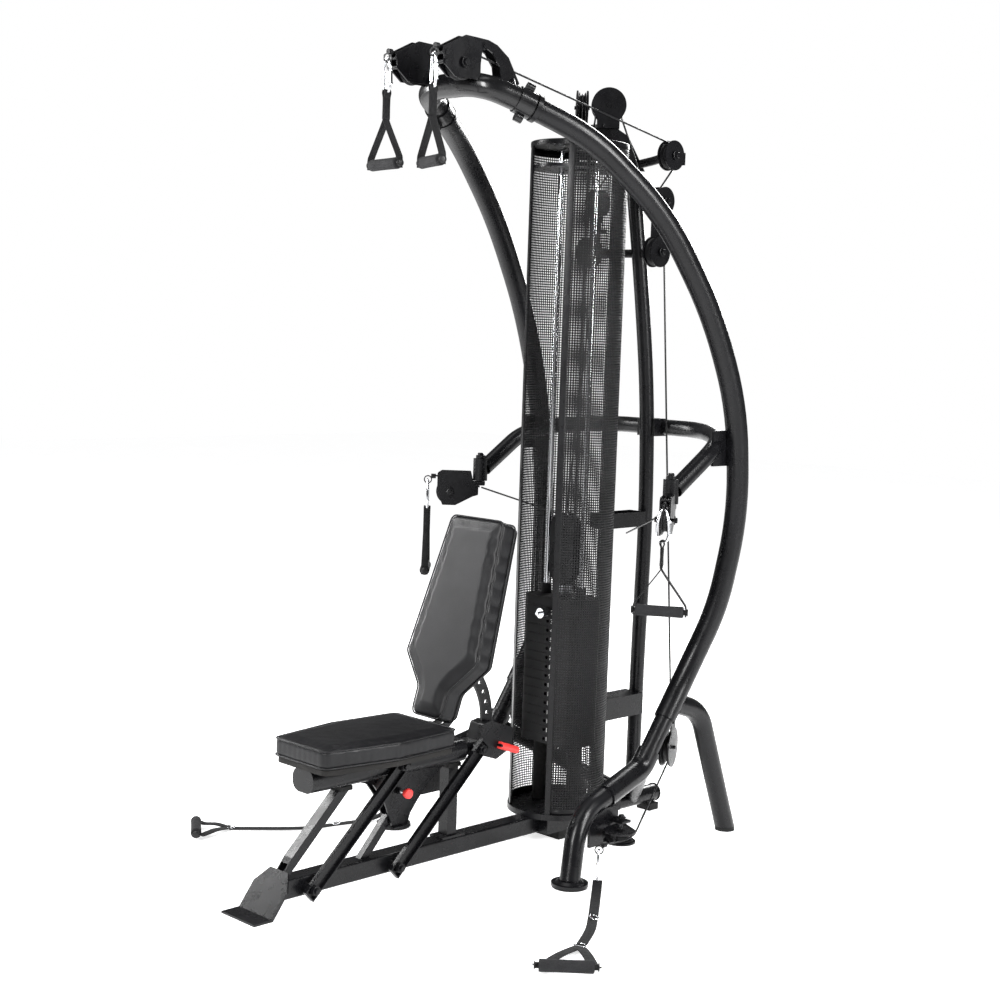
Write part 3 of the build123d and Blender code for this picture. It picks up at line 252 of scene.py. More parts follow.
def chrome():
    s = Shader("chrome", (0.72, 0.73, 0.75), 0.12, 1.0)
    s.roughness(s.noise(60, 5, 0.6, (1, 1, 0.08)), 0.08, 0.2)
    s.tint(s.noise(12, 4), 0.9, 1.1)
    return s.mat


def zinc():
    s = Shader("steel", (0.46, 0.47, 0.49), 0.3, 1.0)
    s.roughness(s.noise(90, 5, 0.6), 0.25, 0.42)
    s.tint(s.noise(40, 4), 0.8, 1.15)
    s.bump(s.noise(700, 2), 0.15, 0.0002)
    return s.mat


def nylon():
    s = Shader("pulley_nylon", (0.005, 0.005, 0.0055), 0.42, Specular_IOR_Level=0.3)
    s.tint(s.noise(30, 4), 0.8, 1.6)
    s.roughness(s.noise(80, 5), 0.34, 0.52)
    s.bump(s.noise(400, 3), 0.15, 0.0004)
    return s.mat


def rubber():
    s = Shader("black_rubber", (0.006, 0.006, 0.006), 0.75, Specular_IOR_Level=0.25)
    s.tint(s.noise(35, 5), 0.8, 1.8)
    s.roughness(s.noise(120, 4), 0.65, 0.88)
    s.bump(s.noise(350, 4), 0.3, 0.0006)
    return s.mat


def foam():
    s = Shader("grip_foam", (0.011, 0.011, 0.012), 0.9, Specular_IOR_Level=0.3)
    cells = s.voronoi(520)
    s.tint(cells, 0.55, 1.35, 0.1, 0.7)
    s.roughness(s.noise(60, 3), 0.82, 0.96)
    s.bump(s.combine("ADD", cells, s.noise(300, 4)), 0.5, 0.0008)
    return s.mat


def webbing():
    """Woven nylon: two crossing families of threads."""
    s = Shader("webbing", (0.005, 0.005, 0.0055), 0.8,
               Sheen_Weight=0.04, Specular_IOR_Level=0.2)
    warp = s.wave(190, (0, 0, radians(45)))
    weft = s.wave(190, (0, radians(90), radians(45)))
    weave = s.combine("MULTIPLY", warp, weft)
    s.tint(weave, 0.6, 2.2, 0.0, 0.8)
    s.roughness(s.noise(90, 3), 0.72, 0.9)
    s.bump(weave, 0.5, 0.0006)
    return s.mat


def vinyl():
    """Upholstery vinyl with a pebbled leather grain."""
    s = Shader("vinyl", (0.0055, 0.0055, 0.0062), 0.42,
               Coat_Weight=0.04, Coat_Roughness=0.3, Specular_IOR_Level=0.22)
    pebbles = s.combine("ADD", s.voronoi(420), s.noise(260, 5))
    s.tint(s.noise(9, 5), 0.8, 1.35)
    s.roughness(s.noise(30, 5, 0.6), 0.36, 0.5)
    s.bump(pebbles, 0.28, 0.0005)
    return s.mat


def painted_board():
    s = Shader("board", (0.008, 0.0075, 0.007), 0.6, Specular_IOR_Level=0.2)
    grain = s.noise(40, 6, 0.6, (1, 0.1, 1))
    s.tint(grain, 0.6, 1.8)
    s.bump(grain, 0.3, 0.0004)
    return s.mat


def red_plastic():
    s = Shader("red_grip", (0.78, 0.045, 0.04), 0.36, Subsurface_Weight=0.05)
    s.tint(s.noise(40, 4), 0.85, 1.15)
    s.roughness(s.noise(60, 4), 0.3, 0.46)
    s.bump(s.noise(300, 3), 0.15, 0.0004)
    return s.mat


def cable_coat():
    s = Shader("coated_cable", (0.004, 0.004, 0.0045), 0.35, Specular_IOR_Level=0.3)
    s.tint(s.noise(60, 3), 0.8, 1.6)
    s.roughness(s.noise(90, 4), 0.28, 0.45)
    s.bump(s.noise(500, 2), 0.1, 0.0003)
    return s.mat


def print_white():
    s = Shader("print_white", (0.72, 0.72, 0.72), 0.5)
    s.tint(s.noise(300, 4), 0.8, 1.1)
    s.roughness(s.noise(200, 3), 0.45, 0.6)
    return s.mat


def floor_material():
    s = Shader("floor", (0.8, 0.8, 0.805), 0.6,
               Emission_Color=(1, 1, 1, 1), Emission_Strength=0.7)
    s.tint(s.noise(1.2, 3), 0.985, 1.01)
    s.roughness(s.noise(6, 4), 0.5, 0.62)
    return s.mat


MATERIALS = {
    "frame_paint": powder_coat("frame_paint", (0.0032, 0.0032, 0.0038), 0.22, 0.34),
    "mesh_paint": powder_coat("mesh_paint", (0.004, 0.004, 0.0045), 0.36, 0.5),
    "plate_paint": powder_coat("plate_paint", (0.004, 0.004, 0.0045), 0.42, 0.6),
    "dark_gloss": gloss_paint(),
    "chrome": chrome(),
    "steel": zinc(),
    "pulley_nylon": nylon(),
    "black_rubber": rubber(),
    "grip_foam": foam(),
    "webbing": webbing(),
    "vinyl": vinyl(),
    "board": painted_board(),
    "red_grip": red_plastic(),
    "coated_cable": cable_coat(),
}
PRINT = print_white()


def dress_frame():
    """Each CAD node takes the detailed material of its slot in the record."""
    slots = {part["node"]: part["material_slot"] for part in frame["record"]["subparts"]}
    for name, obj in NODES.items():
        material = MATERIALS[slots[name]]
        for slot in obj.material_slots:
            slot.material = material
        if not obj.material_slots:
            obj.data.materials.append(material)


# ---------------------------------------------------------------- mesh helpers
def new_object(name, bm, material, body, smooth=True):
    mesh = bpy.data.meshes.new(name)
    bm.to_mesh(mesh)
    bm.free()
    return adopt(name, mesh, material, body, smooth)


def adopt(name, mesh, material, body, smooth=True):
    """An object for a mesh, in a slot's material or a material of its own, riding a body."""
    obj = bpy.data.objects.new(name, mesh)
    bpy.context.collection.objects.link(obj)
    if smooth:
        for face in mesh.polygons:
            face.use_smooth = True
    if isinstance(material, str):
        mesh.materials.append(MATERIALS[material])
    else:
        mesh.materials.append(material)
    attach(obj, body)
    return obj


def tube(name, points, radius, material, body, cyclic=False, sides=8):
    """A round tube along points."""
    curve = bpy.data.curves.new(name, "CURVE")
    curve.dimensions = "3D"
    curve.bevel_mode = "ROUND"
    curve.bevel_depth = radius
    curve.bevel_resolution = sides // 4
    curve.use_fill_caps = not cyclic
    spline = curve.splines.new("POLY")
    spline.points.add(len(points) - 1)
    for point, at in zip(spline.points, points):
        point.co = (*at, 1)
    spline.use_cyclic_u = cyclic
    temp = bpy.data.objects.new(name, curve)
    mesh = bpy.data.meshes.new_from_object(temp)
    bpy.data.objects.remove(temp)
    return adopt(name, mesh, material, body)


def rounded_outline(corners, radius, steps=6):
    """The points of a closed polygon whose corners are arcs of a radius."""
    points = []
    count = len(corners)
    for i, corner in enumerate(corners):
        before = Vector(corners[i - 1]) - Vector(corner)
        after = Vector(corners[(i + 1) % count]) - Vector(corner)
        cut = radius / abs(tan(before.angle(after) / 2))
        start = Vector(corner) + before.normalized() * cut
        end = Vector(corner) + after.normalized() * cut
        for k in range(steps + 1):
            t = k / steps
            points.append(start.lerp(Vector(corner), t).lerp(Vector(corner).lerp(end, t), t))
    return points


def bridge(bm, rings):
    """Quads between neighbouring rings of vertices."""
    for a, b in zip(rings, rings[1:]):
        for k in range(len(a)):
            m = (k + 1) % len(a)
            bm.faces.new((a[k], a[m], b[m], b[k]))


def inset(points, amount):
    """A closed outline moved inwards."""
    middle = sum(points, Vector((0, 0))) / len(points)
    moved = []
    for i, point in enumerate(points):
        along = (points[(i + 1) % len(points)] - points[i - 1]).normalized()
        normal = Vector((-along.y, along.x))
        if normal.dot(middle - point) < 0:
            normal.negate()
        moved.append(point + normal * amount)
    return moved


def placed(place, points):
    return [place @ Vector(p) for p in points]


# ---------------------------------------------------------------- upholstery
SHRINK = 0.0015  # the pad starts this far inside its CAD solid
EDGE = 0.006  # height of the pad's chamfers, bottom and top
BOTTOM_CUT, TOP_CUT = 0.004, 0.007  # and their width
VOXEL = 0.006
CLOTH_PRESSURE = 4
CLOTH_FRAMES = 20
PUFF = 0.006  # the most a point may swell
CROWN = 0.003  # the top's extra rise away from the seam
SEAM_REACH = 0.045  # swelling eases in over this distance from the seam
SEAM_SHARE = 0.08  # and this much of it is left at the seam
SEAM_SAMPLES = 8
PAD_LOW, PAD_OVER = 0.0008, 0.006  # limits of height: above the base, above the CAD top


def cushion(name, outline, thickness, place, body, node):
    """A stuffed pad: an inset closed shape, remeshed, blown up by cloth and then limited."""
    bm = bmesh.new()
    levels = [
        (SHRINK + BOTTOM_CUT, SHRINK),
        (SHRINK, SHRINK + EDGE),
        (SHRINK, thickness - SHRINK - EDGE),
        (SHRINK + TOP_CUT, thickness - SHRINK),
    ]
    rings = []
    for side, height in levels:
        rings.append([bm.verts.new((p.x, p.y, height)) for p in inset(outline, side)])
    bridge(bm, rings)
    bm.faces.new(list(reversed(rings[0])))
    bm.faces.new(rings[-1])
    bmesh.ops.recalc_face_normals(bm, faces=bm.faces)
    mesh = bpy.data.meshes.new(name)
    bm.to_mesh(mesh)
    bm.free()
    obj = bpy.data.objects.new(name, mesh)
    bpy.context.collection.objects.link(obj)
    remesh = obj.modifiers.new("remesh", "REMESH")
    remesh.mode = "VOXEL"
    remesh.voxel_size = VOXEL
    freeze(obj)
    rest = [v.co.copy() for v in obj.data.vertices]
    cloth = obj.modifiers.new("cloth", "CLOTH")
    cloth.settings.use_pressure = True
    cloth.settings.uniform_pressure_force = CLOTH_PRESSURE
    cloth.settings.effector_weights.gravity = 0
    cloth.settings.quality = 5
    scene = bpy.context.scene
    for step in range(1, CLOTH_FRAMES + 1):
        scene.frame_set(step)
    freeze(obj)
    scene.frame_set(1)
    seam = KDTree(len(outline) * SEAM_SAMPLES)
    for i, point in enumerate(outline):
        following = outline[(i + 1) % len(outline)]
        for k in range(SEAM_SAMPLES):
            at = point.lerp(following, k / SEAM_SAMPLES)
            seam.insert((*at, 0), i * SEAM_SAMPLES + k)
    seam.balance()
    for vert, start in zip(obj.data.vertices, rest):
        move = vert.co - start
        if move.length > PUFF:
            move *= PUFF / move.length
        depth = min(1, seam.find((start.x, start.y, 0))[2] / SEAM_REACH)
        ease = depth * depth * (3 - 2 * depth)
        vert.co = start + move * (SEAM_SHARE + (1 - SEAM_SHARE) * ease)
        if start.z > thickness / 2:
            vert.co.z += CROWN * ease
        vert.co.z = max(PAD_LOW, min(thickness + PAD_OVER, vert.co.z))
    smooth = obj.modifiers.new("smooth", "CORRECTIVE_SMOOTH")
    smooth.iterations = 3
    obj.modifiers.new("subdivide", "SUBSURF").levels = 1
    freeze(obj)
    obj.data.transform(place)
    for face in obj.data.polygons:
        face.use_smooth = True
    obj.data.materials.append(MATERIALS["vinyl"])
    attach(obj, body)
    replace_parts(obj, node)


def freeze(obj):
    """Applies every modifier of an object."""
    graph = bpy.context.evaluated_depsgraph_get()
    mesh = bpy.data.meshes.new_from_object(obj.evaluated_get(graph))
    obj.modifiers.clear()
    obj.data = mesh


PIPING_R = 0.0022


def piping(name, outline, height, place, body, side):
    """A cord along a pad's seam."""
    loop = [(p.x, p.y, height) for p in inset(outline, side)]
    tube(name, placed(place, loop), PIPING_R, "vinyl", body, cyclic=True)


SEAT_RADIUS, BACK_RADIUS = 0.026, 0.024
SEAT_CORNERS = [
    (-0.1, 0.141), (0.1, 0.141), (0.135, 0.353), (0.121, 0.564), (-0.121, 0.564), (-0.135, 0.353),
]
BACK_RIGHT = [(0.058, 0.020), (0.060, 0.096), (0.135, 0.178), (0.099, 0.560)]
BACK_TILT = radians(18.2)
BACK_HINGE = Vector((0, 0.600, 0.372))
BACK_BOARD = -0.0024  # the pad's rear face, from the hinge along the pad's own Z
BACK_THICK = 0.056


def back_place():
    """From the back pad's frame, X across, Y up the pad and Z to its front, to the row frame."""
    up = Vector((0, sin(BACK_TILT), cos(BACK_TILT)))
    front = Vector((0, -cos(BACK_TILT), sin(BACK_TILT)))
    turn = Matrix((Vector((1, 0, 0)), up, front)).transposed().to_4x4()
    return Matrix.Translation(BACK_HINGE) @ turn @ Matrix.Translation((0, 0, BACK_BOARD))


def upholstery():
    seat = rounded_outline(SEAT_CORNERS, SEAT_RADIUS)
    low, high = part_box("seat_pad")
    seat_place = Matrix.Translation((0, 0, low[2]))
    seat_thick = high[2] - low[2]
    cushion("seat_cushion", seat, seat_thick, seat_place, "bench", "seat_pad")
    piping("seat_piping_top", seat, seat_thick - 0.004, seat_place, "bench", 0.0028)
    piping("seat_piping_bottom", seat, 0.005, seat_place, "bench", 0.0016)
    corners = BACK_RIGHT + [(-x, y) for x, y in reversed(BACK_RIGHT)]
    back = rounded_outline(corners, BACK_RADIUS)
    place = back_place()
    cushion("back_cushion", back, BACK_THICK, place, "back", "back_pad")
    front = BACK_THICK - 0.004
    piping("back_piping_front", back, front, place, "back", 0.0028)
    piping("back_piping_rear", back, 0.005, place, "back", 0.0016)


# ---------------------------------------------------------------- perforated tower mesh
TOWER = Vector((0, 1.070))
TOWER_R = 0.133
PANEL_START, PANEL_END = radians(36), radians(179)
HOLE_PITCH = 0.0070
HOLE_SHARE = 0.36  # a hole's radius over the pitch
PANEL_MARGIN = 0.015  # plain sheet under and over the holes
SHEET_THICK = 0.0012
BORDER_THICK = 0.002
BORDER_HIGH = 0.0155
BORDER_SPAN = radians(1.5)


def on_tower(angle, z, r=TOWER_R):
    """A point on the tower at an angle from its front, right side positive."""
    return Vector((r * sin(angle), TOWER.y - r * cos(angle), z))


def perforated_panel(side):
    """Half of the tower's cover: rows of eight-sided holes in a thin sheet, with a border."""
    tag = "right" if side > 0 else "left"
    low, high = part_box("mesh_panels")
    z0, z1 = low[2], high[2]
    arc, tall = PANEL_END - PANEL_START, z1 - z0 - 2 * PANEL_MARGIN
    columns, rows = round(arc * TOWER_R / HOLE_PITCH), round(tall / HOLE_PITCH)
    bm = bmesh.new()
    grid = {}

    def point(column, row):
        """A place on the sheet, in cells from its lower front corner."""
        angle = side * (PANEL_START + column * (arc / columns))
        return on_tower(angle, z0 + PANEL_MARGIN + row * (tall / rows))

    def shared(column, row):
        """A vertex on the cells' edges, made once; these lie on half cells."""
        key = (round(column * 2), round(row * 2))
        if key not in grid:
            grid[key] = bm.verts.new(point(column, row))
        return grid[key]

    rim = [(0, 0), (0.5, 0), (1, 0), (1, 0.5), (1, 1), (0.5, 1), (0, 1), (0, 0.5)]
    turns = [atan2(v - 0.5, u - 0.5) for u, v in rim]
    hole = [(0.5 + HOLE_SHARE * cos(turn), 0.5 + HOLE_SHARE * sin(turn)) for turn in turns]
    for i in range(columns):
        for j in range(rows):
            outer = [shared(i + u, j + v) for u, v in rim]
            inner = [bm.verts.new(point(i + u, j + v)) for u, v in hole]
            for k in range(8):
                m = (k + 1) % 8
                face = (outer[k], outer[m], inner[m], inner[k])
                bm.faces.new(face if side > 0 else tuple(reversed(face)))
    sheet = new_object(f"mesh_sheet_{tag}", bm, "mesh_paint", "frame")
    thick = sheet.modifiers.new("thickness", "SOLIDIFY")
    thick.thickness = SHEET_THICK
    thick.offset = -1
    freeze(sheet)
    for face in sheet.data.polygons:
        face.use_smooth = True
    border = bmesh.new()
    border_strip(border, side, PANEL_START, PANEL_START + BORDER_SPAN, z0, z1)
    border_strip(border, side, PANEL_START, PANEL_END, z0, z0 + BORDER_HIGH)
    border_strip(border, side, PANEL_START, PANEL_END, z1 - BORDER_HIGH, z1)
    new_object(f"mesh_border_{tag}", border, "mesh_paint", "frame")
    return sheet


def border_strip(bm, side, start, end, z0, z1, steps=12):
    """A curved solid strip of the tower's cover."""
    inner = TOWER_R - BORDER_THICK
    rings = []
    for k in range(steps + 1):
        angle = side * (start + (end - start) * k / steps)
        corners = [(z0, TOWER_R), (z1, TOWER_R), (z1, inner), (z0, inner)]
        rings.append([bm.verts.new(on_tower(angle, z, r)) for z, r in corners])
    bridge(bm, rings)
    bm.faces.new(rings[0])
    bm.faces.new(list(reversed(rings[-1])))
    bmesh.ops.recalc_face_normals(bm, faces=bm.faces)


def tower_cover():
    sheets = [perforated_panel(side) for side in (1, -1)]
    for sheet in sheets:
        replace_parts(sheet, "mesh_panels")


# ---------------------------------------------------------------- fasteners and print
def frame_at(at, axis):
    """A matrix whose Z is axis, at a point."""
    turn = Vector(axis).normalized().to_track_quat("Z", "Y").to_matrix().to_4x4()
    return Matrix.Translation(at) @ turn


WASHER = 0.0018


def bolt(name, at, axis, body, radius):
    """A washer and a chamfered hex head, standing on a surface at a point, axis outwards."""
    bm = bmesh.new()
    place = frame_at(at, axis)
    disc(bm, place, [(1.5, 0.0, 24), (1.5, 0.0015, 24), (1.42, WASHER, 24)], radius)
    sides, top = WASHER + radius * 0.62, WASHER + radius * 0.76
    disc(bm, place, [(1.0, WASHER, 6), (1.0, sides, 6), (0.86, top, 6)], radius)
    new_object(name, bm, "frame_paint", body, smooth=False)


def disc(bm, place, levels, radius):
    """A capped stack of rings of (radius factor, height, sides)."""
    rings = []
    for factor, height, sides in levels:
        ring = []
        for k in range(sides):
            angle = 2 * pi * k / sides
            point = Vector((radius * factor * cos(angle), radius * factor * sin(angle), height))
            ring.append(bm.verts.new(place @ point))
        rings.append(ring)
    bridge(bm, rings)
    bm.faces.new(list(reversed(rings[0])))
    bm.faces.new(rings[-1])


MID_TURN = {"right": radians(-57), "left": radians(-45)}  # the mid blocks' rest positions
MID_BOLT = (0.357, 1.082)  # the axis they swivel on, on the right side
MID_ARM = 0.088  # from there to the pulley's axle
MID_AXLE_Z, MID_HALF_WIDTH = 0.938, 0.022
SIDE_BOLTS = (  # name, place and axis on the right side, radius
    ("high_axle", (0.107, 0.528, 2.058), (1, 0, 0), 0.009),
    ("high_guard_a", (0.100, 0.468, 2.074), (1, 0, 0), 0.006),
    ("high_guard_b", (0.100, 0.466, 2.052), (1, 0, 0), 0.006),
    ("high_guard_c", (0.100, 0.596, 2.105), (1, 0, 0), 0.006),
    ("low_axle", (0.382, 0.903, 0.138), (0, 0, 1), 0.009),
    ("low_swivel", (0.348, 0.948, 0.149), (0, 0, 1), 0.008),
    ("out_axle", (0.134, 1.319, 1.908), (1, 0, 0), 0.009),
    ("idler_axle", (0.146, 1.262, 1.640), (1, 0, 0), 0.008),
    ("midway_axle", (0.140, 1.283, 1.781), (1, 0, 0), 0.008),
)
LINK_BOLT_X = 0.060
LINK_BOLTS = (  # name, Y, Z, body
    ("mid_low", 0.160, 0.045, "mid_link"),
    ("rear_low", 0.435, 0.045, "rear_link"),
    ("mid_high", 0.441, 0.308, "mid_link"),
    ("rear_high", 0.716, 0.308, "rear_link"),
)


def fasteners():
    """Bolt heads where the pieces are joined."""
    for side in (-1, 1):
        tag = "right" if side > 0 else "left"
        for name, (x, y, z), axis, radius in SIDE_BOLTS:
            outward = (side * axis[0], axis[1], axis[2])
            bolt(f"{name}_{tag}", (side * x, y, z), outward, "frame", radius)
        swivel = f"mid_block_{tag}"
        x, y = MID_BOLT
        bolt(f"swivel_top_{tag}", (side * x, y, 1.044), (0, 0, 1), swivel, 0.009)
        turn = MID_TURN[tag]
        axis = Vector((side * sin(-turn), cos(turn), 0))
        axle = Vector((side * (x + MID_ARM * cos(turn)), y + MID_ARM * sin(turn), MID_AXLE_Z))
        for end in (-1, 1):
            at = axle + axis * MID_HALF_WIDTH * end
            bolt(f"mid_axle_{tag}_{end + 1}", at, axis * end, swivel, 0.008)
    for name, y, z, body in LINK_BOLTS:
        bolt(f"link_bolt_{name}", (LINK_BOLT_X, y, z), (1, 0, 0), body, 0.008)
    for side in (-1, 1):
        at = (side * 0.030, BACK_HINGE.y, BACK_HINGE.z)
        bolt(f"hinge_bolt_{side + 1}", at, (side, 0, 0), "bench", 0.008)


FIRST_NUMBER, LAST_NUMBER = 2, 16
NUMBER_AT = (0.0145, 1.0108, 0.6395)  # the first; the rest are below it
PLATE_PITCH = 0.0255
NUMBER_SIZE = 0.017


def stack_numbers():
    """Plain numbers beside the pin holes, one on each plate's front."""
    turn = Matrix((Vector((1, 0, 0)), Vector((0, 0, 1)), Vector((0, -1, 0)))).transposed().to_4x4()
    x, y, z = NUMBER_AT
    for k, number in enumerate(range(FIRST_NUMBER, LAST_NUMBER + 1)):
        data = bpy.data.curves.new(f"number_{number}", "FONT")
        data.body = str(number)
        data.size = NUMBER_SIZE
        data.align_x = "CENTER"
        data.align_y = "CENTER"
        data.extrude = 0.0002
        temp = bpy.data.objects.new(data.name, data)
        mesh = bpy.data.meshes.new_from_object(temp)
        bpy.data.objects.remove(temp)
        mesh.transform(Matrix.Translation((x, y, z - PLATE_PITCH * k)) @ turn)
        adopt(f"number_{number}", mesh, PRINT, "frame" if k else "stack", smooth=False)


# ---------------------------------------------------------------- handles
def lathe(name, profile, place, material, body, sides=36):
    """A solid of revolution about place's Z from (radius, height) pairs."""
    bm = bmesh.new()
    disc(bm, place, [(r, z, sides) for r, z in profile], 1.0)
    return new_object(name, bm, material, body)


WEB_THICK = 0.0030
HANGING_WEB, FLOOR_WEB = 0.020, 0.025  # widths
GRIP_HALF = 0.0668  # from the grip's middle to where the webbing enters it


def band(name, path, across, width, body):
    """Webbing with soft edges along a path; across gives its width direction at each point."""
    w, h = width / 2, WEB_THICK / 2
    section = [(-w, -h * 0.4), (-w + h, -h), (w - h, -h), (w, -h * 0.4)]
    section = section + [(-x, -y) for x, y in section]
    bm = bmesh.new()
    rings = []
    for i, at in enumerate(path):
        along = (path[min(i + 1, len(path) - 1)] - path[max(i - 1, 0)]).normalized()
        side = across[i].normalized()
        face = along.cross(side).normalized()
        rings.append([bm.verts.new(at + side * x + face * y) for x, y in section])
    bridge(bm, rings)
    bm.faces.new(list(reversed(rings[0])))
    bm.faces.new(rings[-1])
    bmesh.ops.recalc_face_normals(bm, faces=bm.faces)
    return new_object(name, bm, "webbing", body)


def smooth_path(points, steps=8):
    """A Catmull-Rom curve through points."""
    points = [Vector(p) for p in points]
    ends = [points[0] * 2 - points[1]] + points + [points[-1] * 2 - points[-2]]
    path = []
    for a, b, c, d in zip(ends, ends[1:], ends[2:], ends[3:]):
        for k in range(steps):
            t = k / steps
            path.append(0.5 * (2 * b + (c - a) * t + (2 * a - 5 * b + 4 * c - d) * t**2
                               + (3 * b - 3 * c + d - a) * t**3))
    return path + [points[-1]]


GATE = ((0.0158, -0.034), (0.0180, -0.068))
GATE_PIN = [(0.0040, -0.003), (0.0052, -0.0026), (0.0052, 0.0026), (0.0040, 0.003)]


def carabiner(name, place, body):
    """A chromed wire hook with its sprung gate, hanging from the origin of place."""
    loop = []
    for k in range(48):
        t = 2 * pi * k / 48
        half = 0.0125 + 0.0055 * (0.5 - 0.5 * cos(t))
        swing = sin(t)
        x = half * (abs(swing) ** 0.75) * (1 if swing > 0 else -1)
        loop.append((x, -0.046 + 0.042 * cos(t), 0))
    tube(name, placed(place, loop), 0.0036, "chrome", body, cyclic=True, sides=16)
    gate = [(x, y, 0) for x, y in GATE]
    tube(name + "_gate", placed(place, gate), 0.0046, "chrome", body, sides=16)
    for x, y in GATE:
        at = place @ Matrix.Translation((x, y, 0)) @ Matrix.Rotation(radians(90), 4, "X")
        lathe(f"{name}_pivot_{-y:.3f}", GATE_PIN, at, "chrome", body, 20)


# (radius, distance from the grip's middle), from the end inwards
FOAM_HALF = [
    (0.0086, 0.0620), (0.0118, 0.0618), (0.0138, 0.0604), (0.0145, 0.0575), (0.0142, 0.030),
]
CAP_HALF = [
    (0.0070, 0.060), (0.0070, 0.0700), (0.0096, 0.0702),
    (0.0100, 0.0712), (0.0096, 0.0728), (0.004, 0.0732),
]


def grip(name, centre, axis, body):
    """A foam sleeve, and a tube in it with an end cap each side."""
    place = frame_at(centre, axis)
    profile = [(r, -z) for r, z in FOAM_HALF] + [(0.0141, 0.0)] + list(reversed(FOAM_HALF))
    sleeve = lathe(name + "_foam", profile, place, "grip_foam", body, 48)
    profile = [(r, -z) for r, z in reversed(CAP_HALF)] + CAP_HALF
    lathe(name + "_caps", profile, place, "pulley_nylon", body, 32)
    return sleeve


def stitches(name, place, body):
    """A box of thread over the place where the webbing is sewn to itself."""
    for face in (-1, 1):
        x, top, bottom, half = face * 0.0040, -0.104, -0.146, 0.0085
        thread = [(x, top, -half), (x, top, half), (x, bottom, -half), (x, bottom, half)]
        thread.append(thread[0])
        tube(f"{name}_{face + 1}", placed(place, thread), 0.0005, "grip_foam", body)


GRIP_AXES = {  # the directions of the hanging grips at rest
    "high_right": (117, -43, 0),
    "high_left": (128, -21, 0),
    "mid_right": (cos(radians(33)), sin(radians(33)), 0),
    "mid_left": (-1, 1, 0),
}
HOOK_ABOVE_GRIP = 0.264
STRAP_HALF = [  # (across, up) from the hook's top, from the grip to the stitched neck
    (GRIP_HALF, -0.2755), (GRIP_HALF, -0.252), (0.058, -0.236), (0.0042, -0.162),
    (0.0020, -0.150), (0.0018, -0.105), (0.0056, -0.0905), (0.0040, -0.0836),
]


def hanging_handles():
    for name, axis in GRIP_AXES.items():
        low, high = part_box(f"{name}_grip")
        centre = (Vector(low) + Vector(high)) / 2
        side = Vector(axis).normalized()
        normal = Vector((side.y, -side.x, 0))
        turn = Matrix((side, Vector((0, 0, 1)), normal)).transposed().to_4x4()
        place = Matrix.Translation(centre + Vector((0, 0, HOOK_ABOVE_GRIP))) @ turn
        body = f"{name}_handle"
        carabiner(f"{name}_carabiner", place, body)
        corners = [(-x, y, 0) for x, y in STRAP_HALF] + [(0, -0.0822, 0)]
        corners += [(x, y, 0) for x, y in reversed(STRAP_HALF)]
        path = placed(place, smooth_path(corners, 5))
        strap = band(f"{name}_webbing", path, [normal] * len(path), HANGING_WEB, body)
        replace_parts(strap, f"{name}_handle")
        stitches(f"{name}_stitch", place, body)
        sleeve = grip(f"{name}_grip", centre, axis, f"{name}_grip")
        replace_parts(sleeve, f"{name}_grip")


def ring(name, at, heading, body):
    """A small D ring lying against the webbing."""
    loop = []
    for k in range(24):
        t = 2 * pi * k / 24
        loop.append((0.015 * cos(t), max(-0.004, 0.014 * sin(t)), 0.0035))
    place = Matrix.Translation(at) @ Matrix.Rotation(heading, 4, "Z")
    tube(name, placed(place, loop), 0.0014, "chrome", body, cyclic=True, sides=12)


LOW_HANDLES = {  # on the floor: the hook, the strap's bends and the grip's two ends
    "right": (
        (0.402, 0.800),
        [(0.440, 0.752), (0.545, 0.622), (0.599, 0.550), (0.651, 0.458)],
        ((0.699, 0.277), (0.780, 0.355)),
    ),
    "left": (
        (-0.402, 0.800),
        [(-0.416, 0.742), (-0.448, 0.640), (-0.476, 0.536), (-0.600, 0.385)],
        ((-0.692, 0.337), (-0.553, 0.240)),
    ),
}
BEND_HEIGHTS = (0.006, 0.0025, 0.0045, 0.0030)
HOOK_TOP, HOOK_EYE = 0.108, 0.0245
FORK_Z, FLOOR_GRIP_Z = 0.005, 0.0197


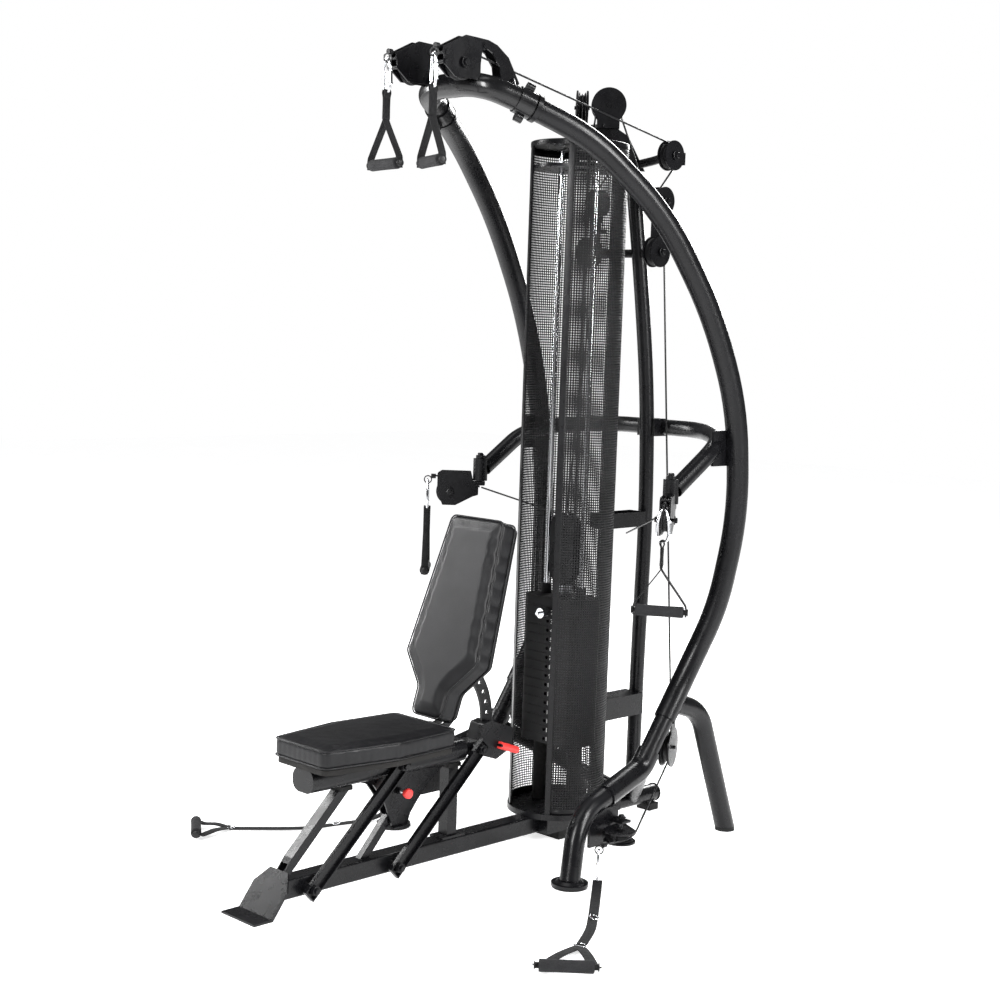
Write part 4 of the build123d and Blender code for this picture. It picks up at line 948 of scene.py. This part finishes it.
def low_handles():
    """The straps of the low pulleys, fallen on the floor."""
    for tag, (hook, knots, ends) in LOW_HANDLES.items():
        side = Vector((knots[2][0] - hook[0], knots[2][1] - hook[1], 0)).normalized()
        normal = Vector((side.y, -side.x, 0))
        turn = Matrix((side, Vector((0, 0, 1)), normal)).transposed().to_4x4()
        carabiner(f"low_carabiner_{tag}", Matrix.Translation((*hook, HOOK_TOP)) @ turn, "frame")
        eye = Vector((*hook, HOOK_EYE))
        path = [eye, eye + side * 0.010 - Vector((0, 0, 0.004))]
        path += [Vector((*knot, height)) for knot, height in zip(knots, BEND_HEIGHTS)]
        start, end = Vector((*ends[0], 0)), Vector((*ends[1], 0))
        middle, along = (start + end) / 2, (end - start).normalized()
        pieces = [smooth_path(path)]
        fork = Vector((*knots[-1], FORK_Z))
        for sign in (-1, 1):
            tip = middle + along * GRIP_HALF * sign + Vector((0, 0, FLOOR_GRIP_Z))
            back = (fork - tip).normalized()
            corner = tip + Vector((back.x, back.y, 0)) * 0.022
            lowered = corner - Vector((0, 0, 0.008))
            pieces.append(smooth_path([fork, fork.lerp(corner, 0.5), lowered, tip]))
        for i, piece in enumerate(pieces):
            across = []
            for k in range(len(piece)):
                step = piece[min(k + 1, len(piece) - 1)] - piece[max(k - 1, 0)]
                across.append(Vector((-step.y, step.x, 0)))
            strap = band(f"low_webbing_{tag}_{i}", piece, across, FLOOR_WEB, "frame")
            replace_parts(strap, "low_handles")
        heading = atan2(side.y, side.x)
        for k in (1, 3):
            ring(f"low_ring_{tag}_{k}", (*knots[k], 0.004), heading + 0.4 * k, "frame")
        grip(f"low_grip_{tag}", middle + Vector((0, 0, FLOOR_GRIP_Z)), along, "frame")


KNOB_LENGTH = 0.017
KNOB = [  # (radius, height from the pin's outer end)
    (0.0085, -0.018), (0.0105, -0.017), (0.0110, -0.013), (0.0128, -0.011), (0.0130, -0.005),
    (0.0122, -0.0018), (0.0100, -0.0004), (0.0040, 0.0),
]


def ride_knob():
    """The red knob and the steel shank of the pin that sets the bench."""
    low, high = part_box("ride_pin")
    y, z = (low[1] + high[1]) / 2, (low[2] + high[2]) / 2
    place = frame_at((low[0], y, z), (1, 0, 0))
    length = high[0] - low[0]
    shank = [(0.0040, 0.0), (0.0050, 0.0015), (0.0050, length - KNOB_LENGTH)]
    lathe("ride_shank", shank, place, "steel", "ride_pin", 24)
    knob = [(r, length + height) for r, height in KNOB]
    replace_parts(lathe("ride_knob", knob, place, "red_grip", "ride_pin", 32), "ride_pin")


# ---------------------------------------------------------------- cables
CABLE_R = 0.0025
CABLE_SIDES = 12
CABLE_RINGS = 60


def fall_cables():
    """The two cable falls, straight round tubes over the height of the CAD cables they replace."""
    low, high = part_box("stack_cables")
    x = high[0] - CABLE_R
    length = high[2] - low[2]
    turns = [2 * pi * k / CABLE_SIDES for k in range(CABLE_SIDES)]
    section = [(CABLE_R * cos(turn), CABLE_R * sin(turn)) for turn in turns]
    bm = bmesh.new()
    for side in (-1, 1):
        rings = []
        for k in range(CABLE_RINGS + 1):
            z = low[2] + length * k / CABLE_RINGS
            rings.append([bm.verts.new((side * x + u, TOWER.y + v, z)) for u, v in section])
        bridge(bm, rings)
        bm.faces.new(list(reversed(rings[0])))
        bm.faces.new(rings[-1])
    obj = new_object("fall_cables", bm, "coated_cable", "frame")
    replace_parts(obj, "stack_cables")
    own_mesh(obj)


# ---------------------------------------------------------------- build
studio()
camera()
dress_frame()
upholstery()
tower_cover()
fasteners()
stack_numbers()
hanging_handles()
low_handles()
ride_knob()
fall_cables()
